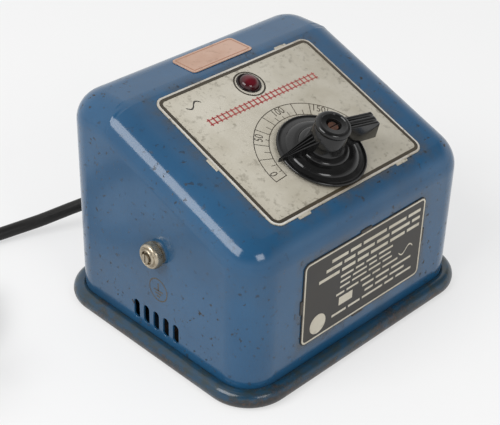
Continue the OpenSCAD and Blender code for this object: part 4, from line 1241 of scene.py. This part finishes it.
# The pointer falls from the neck to the skirt's rim and narrows to its tip.
def makePointer():
    look = knobLook
    foot, top, reach, root = look["foot"], look["pointerTop"], look["pointerReach"], look["neck"]
    stations = [(root + 3.4, top - 1.9), (root + 6.8, top - 4), (root + 10, top - 6.2)]
    stations.append((reach - 1.4, foot + 2.6))
    outline = [(0, foot + 1)] + [(x, foot + 1) for x, _ in stations[:3]]
    outline += [(reach - 1.4, foot + 0.3), (reach, foot), (reach, foot + 1.6)]
    outline += stations[::-1] + [(root, top), (0, top)]
    pointer = slab("pointer", outline, look["gripWidth"])
    line = [(0, top), (root, top)] + stations + [(reach, foot + 1.6)]

    def lowest(x):
        for (x0, z0), (x1, z1) in zip(line, line[1:]):
            if x0 - 0.001 <= x <= x1 + 0.001:
                return z0 + (z1 - z0) * (x - x0) / (x1 - x0) - 0.5
        return top

    grooveTop(pointer, look["pointerGrooves"], lowest)
    editAll(pointer)
    for station in [x for x, _ in stations] + [reach]:
        selectWhere(pointer, "verts", lambda vert: abs(vert.co.x - station) < 0.01)
        narrow = 1 - (1 - look["tipShare"]) * (station - root) / (reach - root)
        bpy.ops.transform.resize(value=(1, narrow, 1), center_override=(station, 0, 0))
    finishEdit(pointer)
    return fixNormals(pointer)


# From the hollow foot over the skirt's rim, the step and the neck to the screw's recess.
def knobProfile():
    look = knobLook
    foot, skirt, top = look["foot"], look["skirt"], look["top"]
    profile = [(6, foot + 1.9), (10.5, foot + 1.9), (12, foot + 0.8), (skirt - 2, foot + 0.8)]
    profile += [(skirt - 1.2, foot), (skirt - 0.4, foot)]
    profile += oval(skirt - 0.7, foot + 0.7, 0.7, 0.7, -40, 80, 6)
    profile += [(skirt - 1.0, foot + 1.25), (skirt - 1.6, foot + 1.15), (skirt - 2.2, foot + 1.28)]
    profile += [(skirt - 2.9, foot + 1.5)] + oval(11.4, foot + 0.6, 4.3, 2.6, 24, 84, 9)
    profile += [(11.2, foot + 3.2), (10.8, foot + 3.25)] + oval(8.6, foot + 3, 2.1, 1.3, 8, 82, 7)
    profile += [(8.5, foot + 4.32), (8.0, foot + 4.55), (7.75, foot + 5.2), (7.5, foot + 7.5)]
    profile += [(7.05, top - 3.3)] + oval(look["cap"] - 1.45, top - 1.5, 1.45, 1.45, -62, 78, 12)
    profile += [(5.5, top - 0.1), (5.25, top - 0.36), (4.9, top - 0.44), (3.6, top - 0.46)]
    profile += [(3.2, top - 0.55), (3.0, top - 0.95), (2.85, top - 3.1), (0.05, top - 3.1)]
    return profile


def makeKnob():
    look = knobLook
    knob = turned("speedKnob", knobProfile(), 96)
    cutWith(knob, makeGrip(), "UNION")
    cutWith(knob, makePointer(), "UNION")
    cutWith(knob, addRod("bore", look["bore"], 0, look["boreTop"], 32))
    fromMillimetres(knob, slopeFrame @ spin(look["turn"], "Z"), 32)
    dress(knob, "bakelite", "knob", ["knob"])
    print("knob made,", len(knob.data.polygons), "faces")


makeKnob()


# Lamp, earth terminal and its sign.

def makeLens():
    profile = [(6.8, -2), (6.8, -1), (5.45, -1), (5.45, 0.7), (5.3, 0.95), (5, 1), (4.7, 0.95)]
    profile += [(4.35, 0.8)] + oval(0, 0.75, 4.25, 2.6, 8, 88, 12)
    middle = slopeFrame.inverted() @ middleOfNode("lamp_lens")
    lens = fromMillimetres(turned("pilotLens", profile, 64), slopeFrame @ shift(0, middle.y, 0), 50)
    dress(lens, "lens_red", "case", ["lamp_lens"])


makeLens()

terminalLook = {"radius": 5.5, "bore": 2.04, "foot": 0.8, "knurls": 44, "depth": 0.28}
nutLow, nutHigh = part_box("earth_nut")
nutMiddle = middleOfNode("earth_nut")


# A knurled nut, turned in millimetres from its foot to its bored top.
def makeTerminal():
    look = terminalLook
    radius, inner = look["radius"], look["foot"]
    outer = (nutHigh.x - nutLow.x) / mm + inner
    waist = (inner + outer) / 2 + 0.3
    profile = [(2.05, inner), (radius - 0.9, inner), (radius - 0.7, inner + 0.4), (radius, inner + 0.7)]
    profile += [(radius, waist)] + oval(radius - 1.3, waist, 1.15, outer - waist - 0.5, 10, 80, 5)
    profile += [(radius - 1.45, outer - 0.85), (radius - 1.75, outer - 0.9), (radius - 1.95, outer - 0.35)]
    profile += [(radius - 2.2, outer - 0.05), (radius - 2.6, outer), (2.75, outer - 0.25)]
    profile += [(2.6, outer - 1.2), (2.05, outer - 1.3)]
    nut = turned("earthNut", profile, 2 * look["knurls"])
    editAll(nut)
    selectWhere(nut, "verts", lambda vert: vert.co.xy.length > radius - 0.05
                and round(math.atan2(vert.co.y, vert.co.x) * look["knurls"] / math.pi) % 2)
    narrow = (radius - look["depth"]) / radius
    bpy.ops.transform.resize(value=(narrow, narrow, 1), center_override=(0, 0, 0))
    finishEdit(nut)
    cutWith(nut, addRod("bore", look["bore"], -1, outer + 1, 32))
    fromMillimetres(nut, shift(caseLow.x, nutMiddle.y, nutMiddle.z) @ spin(-90, "Y"), 25)
    dress(nut, "nickel", "earth_nut", ["earth_nut"])


makeTerminal()

signLook = {"outer": 5.4 * mm, "inner": 4.85 * mm, "line": 0.7 * mm, "stem": 3.6 * mm, "stemAt": 1.4 * mm,
            "bars": ((5.4 * mm, -0.4 * mm), (3.6 * mm, -1.8 * mm), (1.8 * mm, -3.2 * mm))}


# The common earth sign in a ring, printed on the side under the terminal.
def makeEarthSign():
    look = signLook
    hit = placeOn("earthRing", treeOf(caseShell))
    bars = [(width, look["line"], 0, y) for width, y in look["bars"]]
    bars.append((look["line"], look["stem"], 0, look["stemAt"]))
    ring = printRing("ring", look["outer"], look["inner"])
    sign = joinPieces("earthSign", [ring, printBars("bars", bars)])
    face = shift(caseLow.x - 0.03 * mm, hit.y, hit.z) @ spin(-90, "Z") @ spin(90, "X")
    dress(settle(sign, face), "thinInk")


makeEarthSign()
print("small pieces made")


# Floor and light.

stageLook = {
    "floor": 0.83, "size": 6, "white": 1.0, "glowShare": 0.56, "world": 0.62,
    # what the camera and reflections see: dark overhead, bright low down and behind
    "low": (0.55, 0.2), "behind": (-0.02, 0.3), "dark": 0.17, "bright": 0.79,
    # place, size and power of both lamps
    "keyBox": ((-0.95, 0.12, 0.95), (0.85, 0.62), 9.5),
    "fillBox": ((-0.2, -1.1, 0.8), (0.48, 0.36), 3.2),
    "aim": (0, 0, 0.05),
}


# Makes what the camera, reflections and glass see differ from what lights the part.
def splitSeen(lit, seen, share, output):
    rays = addNode("ShaderNodeLightPath").outputs
    direct = larger(larger(rays["Is Camera Ray"], rays["Is Glossy Ray"]), rays["Is Transmission Ray"])
    blend = addNode("ShaderNodeMixShader", Fac=times(direct, share))
    connect(blend.inputs[1], lit.outputs[0])
    connect(blend.inputs[2], seen.outputs[0])
    connect(bench["tree"].nodes[output].inputs["Surface"], blend.outputs[0])


def makeFloor():
    look = stageLook
    floor = addPlane("floor", look["size"], look["size"])
    floor.data.materials.append(newFinish("paperFloor", (look["floor"],) * 3, 0.9))
    feed("Specular IOR Level", 0.1)
    glow = addNode("ShaderNodeEmission", Color=(look["white"],) * 3 + (1,), Strength=1.0)
    splitSeen(bench["shader"], glow, look["glowShare"], "Material Output")


def makeWorld():
    look = stageLook
    world = bpy.data.worlds.new("studio")
    bpy.context.scene.world = world
    world.use_nodes = True
    bench["tree"] = world.node_tree
    background = world.node_tree.nodes["Background"]
    connect(background.inputs["Color"], (1, 1, 1, 1))
    connect(background.inputs["Strength"], look["world"])
    way = addNode("ShaderNodeTexCoord").outputs["Generated"]
    lighter = larger(mask(axisOf(way, "Z"), *look["low"]), mask(axisOf(way, "Y"), *look["behind"]))
    shade = plus(times(lighter, look["bright"]), look["dark"])
    colour = addNode("ShaderNodeCombineColor", Red=shade, Green=shade, Blue=shade).outputs["Color"]
    seen = addNode("ShaderNodeBackground", Color=colour, Strength=1.0)
    splitSeen(background, seen, 1.0, "World Output")


def addLamp(name):
    place, size, power = stageLook[name]
    data = bpy.data.lights.new(name, "AREA")
    data.shape = "RECTANGLE"
    data.size, data.size_y = size
    data.energy = power
    addObject(name, data).matrix_world = lookAt(place, stageLook["aim"])


makeFloor()
makeWorld()
addLamp("keyBox")
addLamp("fillBox")
print("floor and light made")


# Where each thing shows in the picture.

def seenVertices(*pieces):
    return [pictureOf(piece.matrix_world @ v.co) for piece in pieces for v in piece.data.vertices]


def middleOf(name):
    seen = seenVertices(bpy.data.objects[name])
    xs, ys = [x for x, _ in seen], [y for _, y in seen]
    return (min(xs) + max(xs)) / 2, (min(ys) + max(ys)) / 2


def slopePoint(x, y, height):
    return pictureOf(slopeFrame @ Vector((x * mm, y * mm, height * mm)))


# A corner of the data plate or the tag; side is -1 for the near one, 1 for the far.
def cornerPoint(face, look, side, inward=0):
    x, y = (side * (half - inward) for half in look["half"])
    return pictureOf(face @ Vector((x, y, 0)))


def writePoints():
    outline = seenVertices(caseShell, basePan)
    tip = polar(knobLook["pointerReach"], knobLook["turn"])
    shown = {
        "leftEdge": (min(x for x, _ in outline), None),
        "rightEdge": (max(x for x, _ in outline), None),
        "topEdge": (None, min(y for _, y in outline)),
        "bottomEdge": (None, max(y for _, y in outline)),
        "lamp": middleOf("lampRing"),
        "knobCap": slopePoint(0, 0, knobLook["top"]),
        "pointerTip": slopePoint(*tip, 2),
        "earthTerminal": pictureOf((nutLow.x, nutMiddle.y, nutMiddle.z)),
        "earthRing": middleOf("earthSign"),
        "dialPlateNearCorner": slopePoint(-43, -19.2, 0.5),
        "dataPlateNearCorner": cornerPoint(dataFace, dataLook, -1, 1 * mm),
        "dataPlateFarCorner": cornerPoint(dataFace, dataLook, 1, 1 * mm),
        "tagFarCorner": cornerPoint(tagFace, tagLook, 1),
        "tagNearCorner": cornerPoint(tagFace, tagLook, -1),
        "dataDisc": middleOf("dataDisc"),
        "dataPatch": middleOf("dataPatch"),
    }
    for name, (x, y) in imagePoints.items():
        if name not in shown:
            continue


writePoints()
bpy.context.view_layer.update()
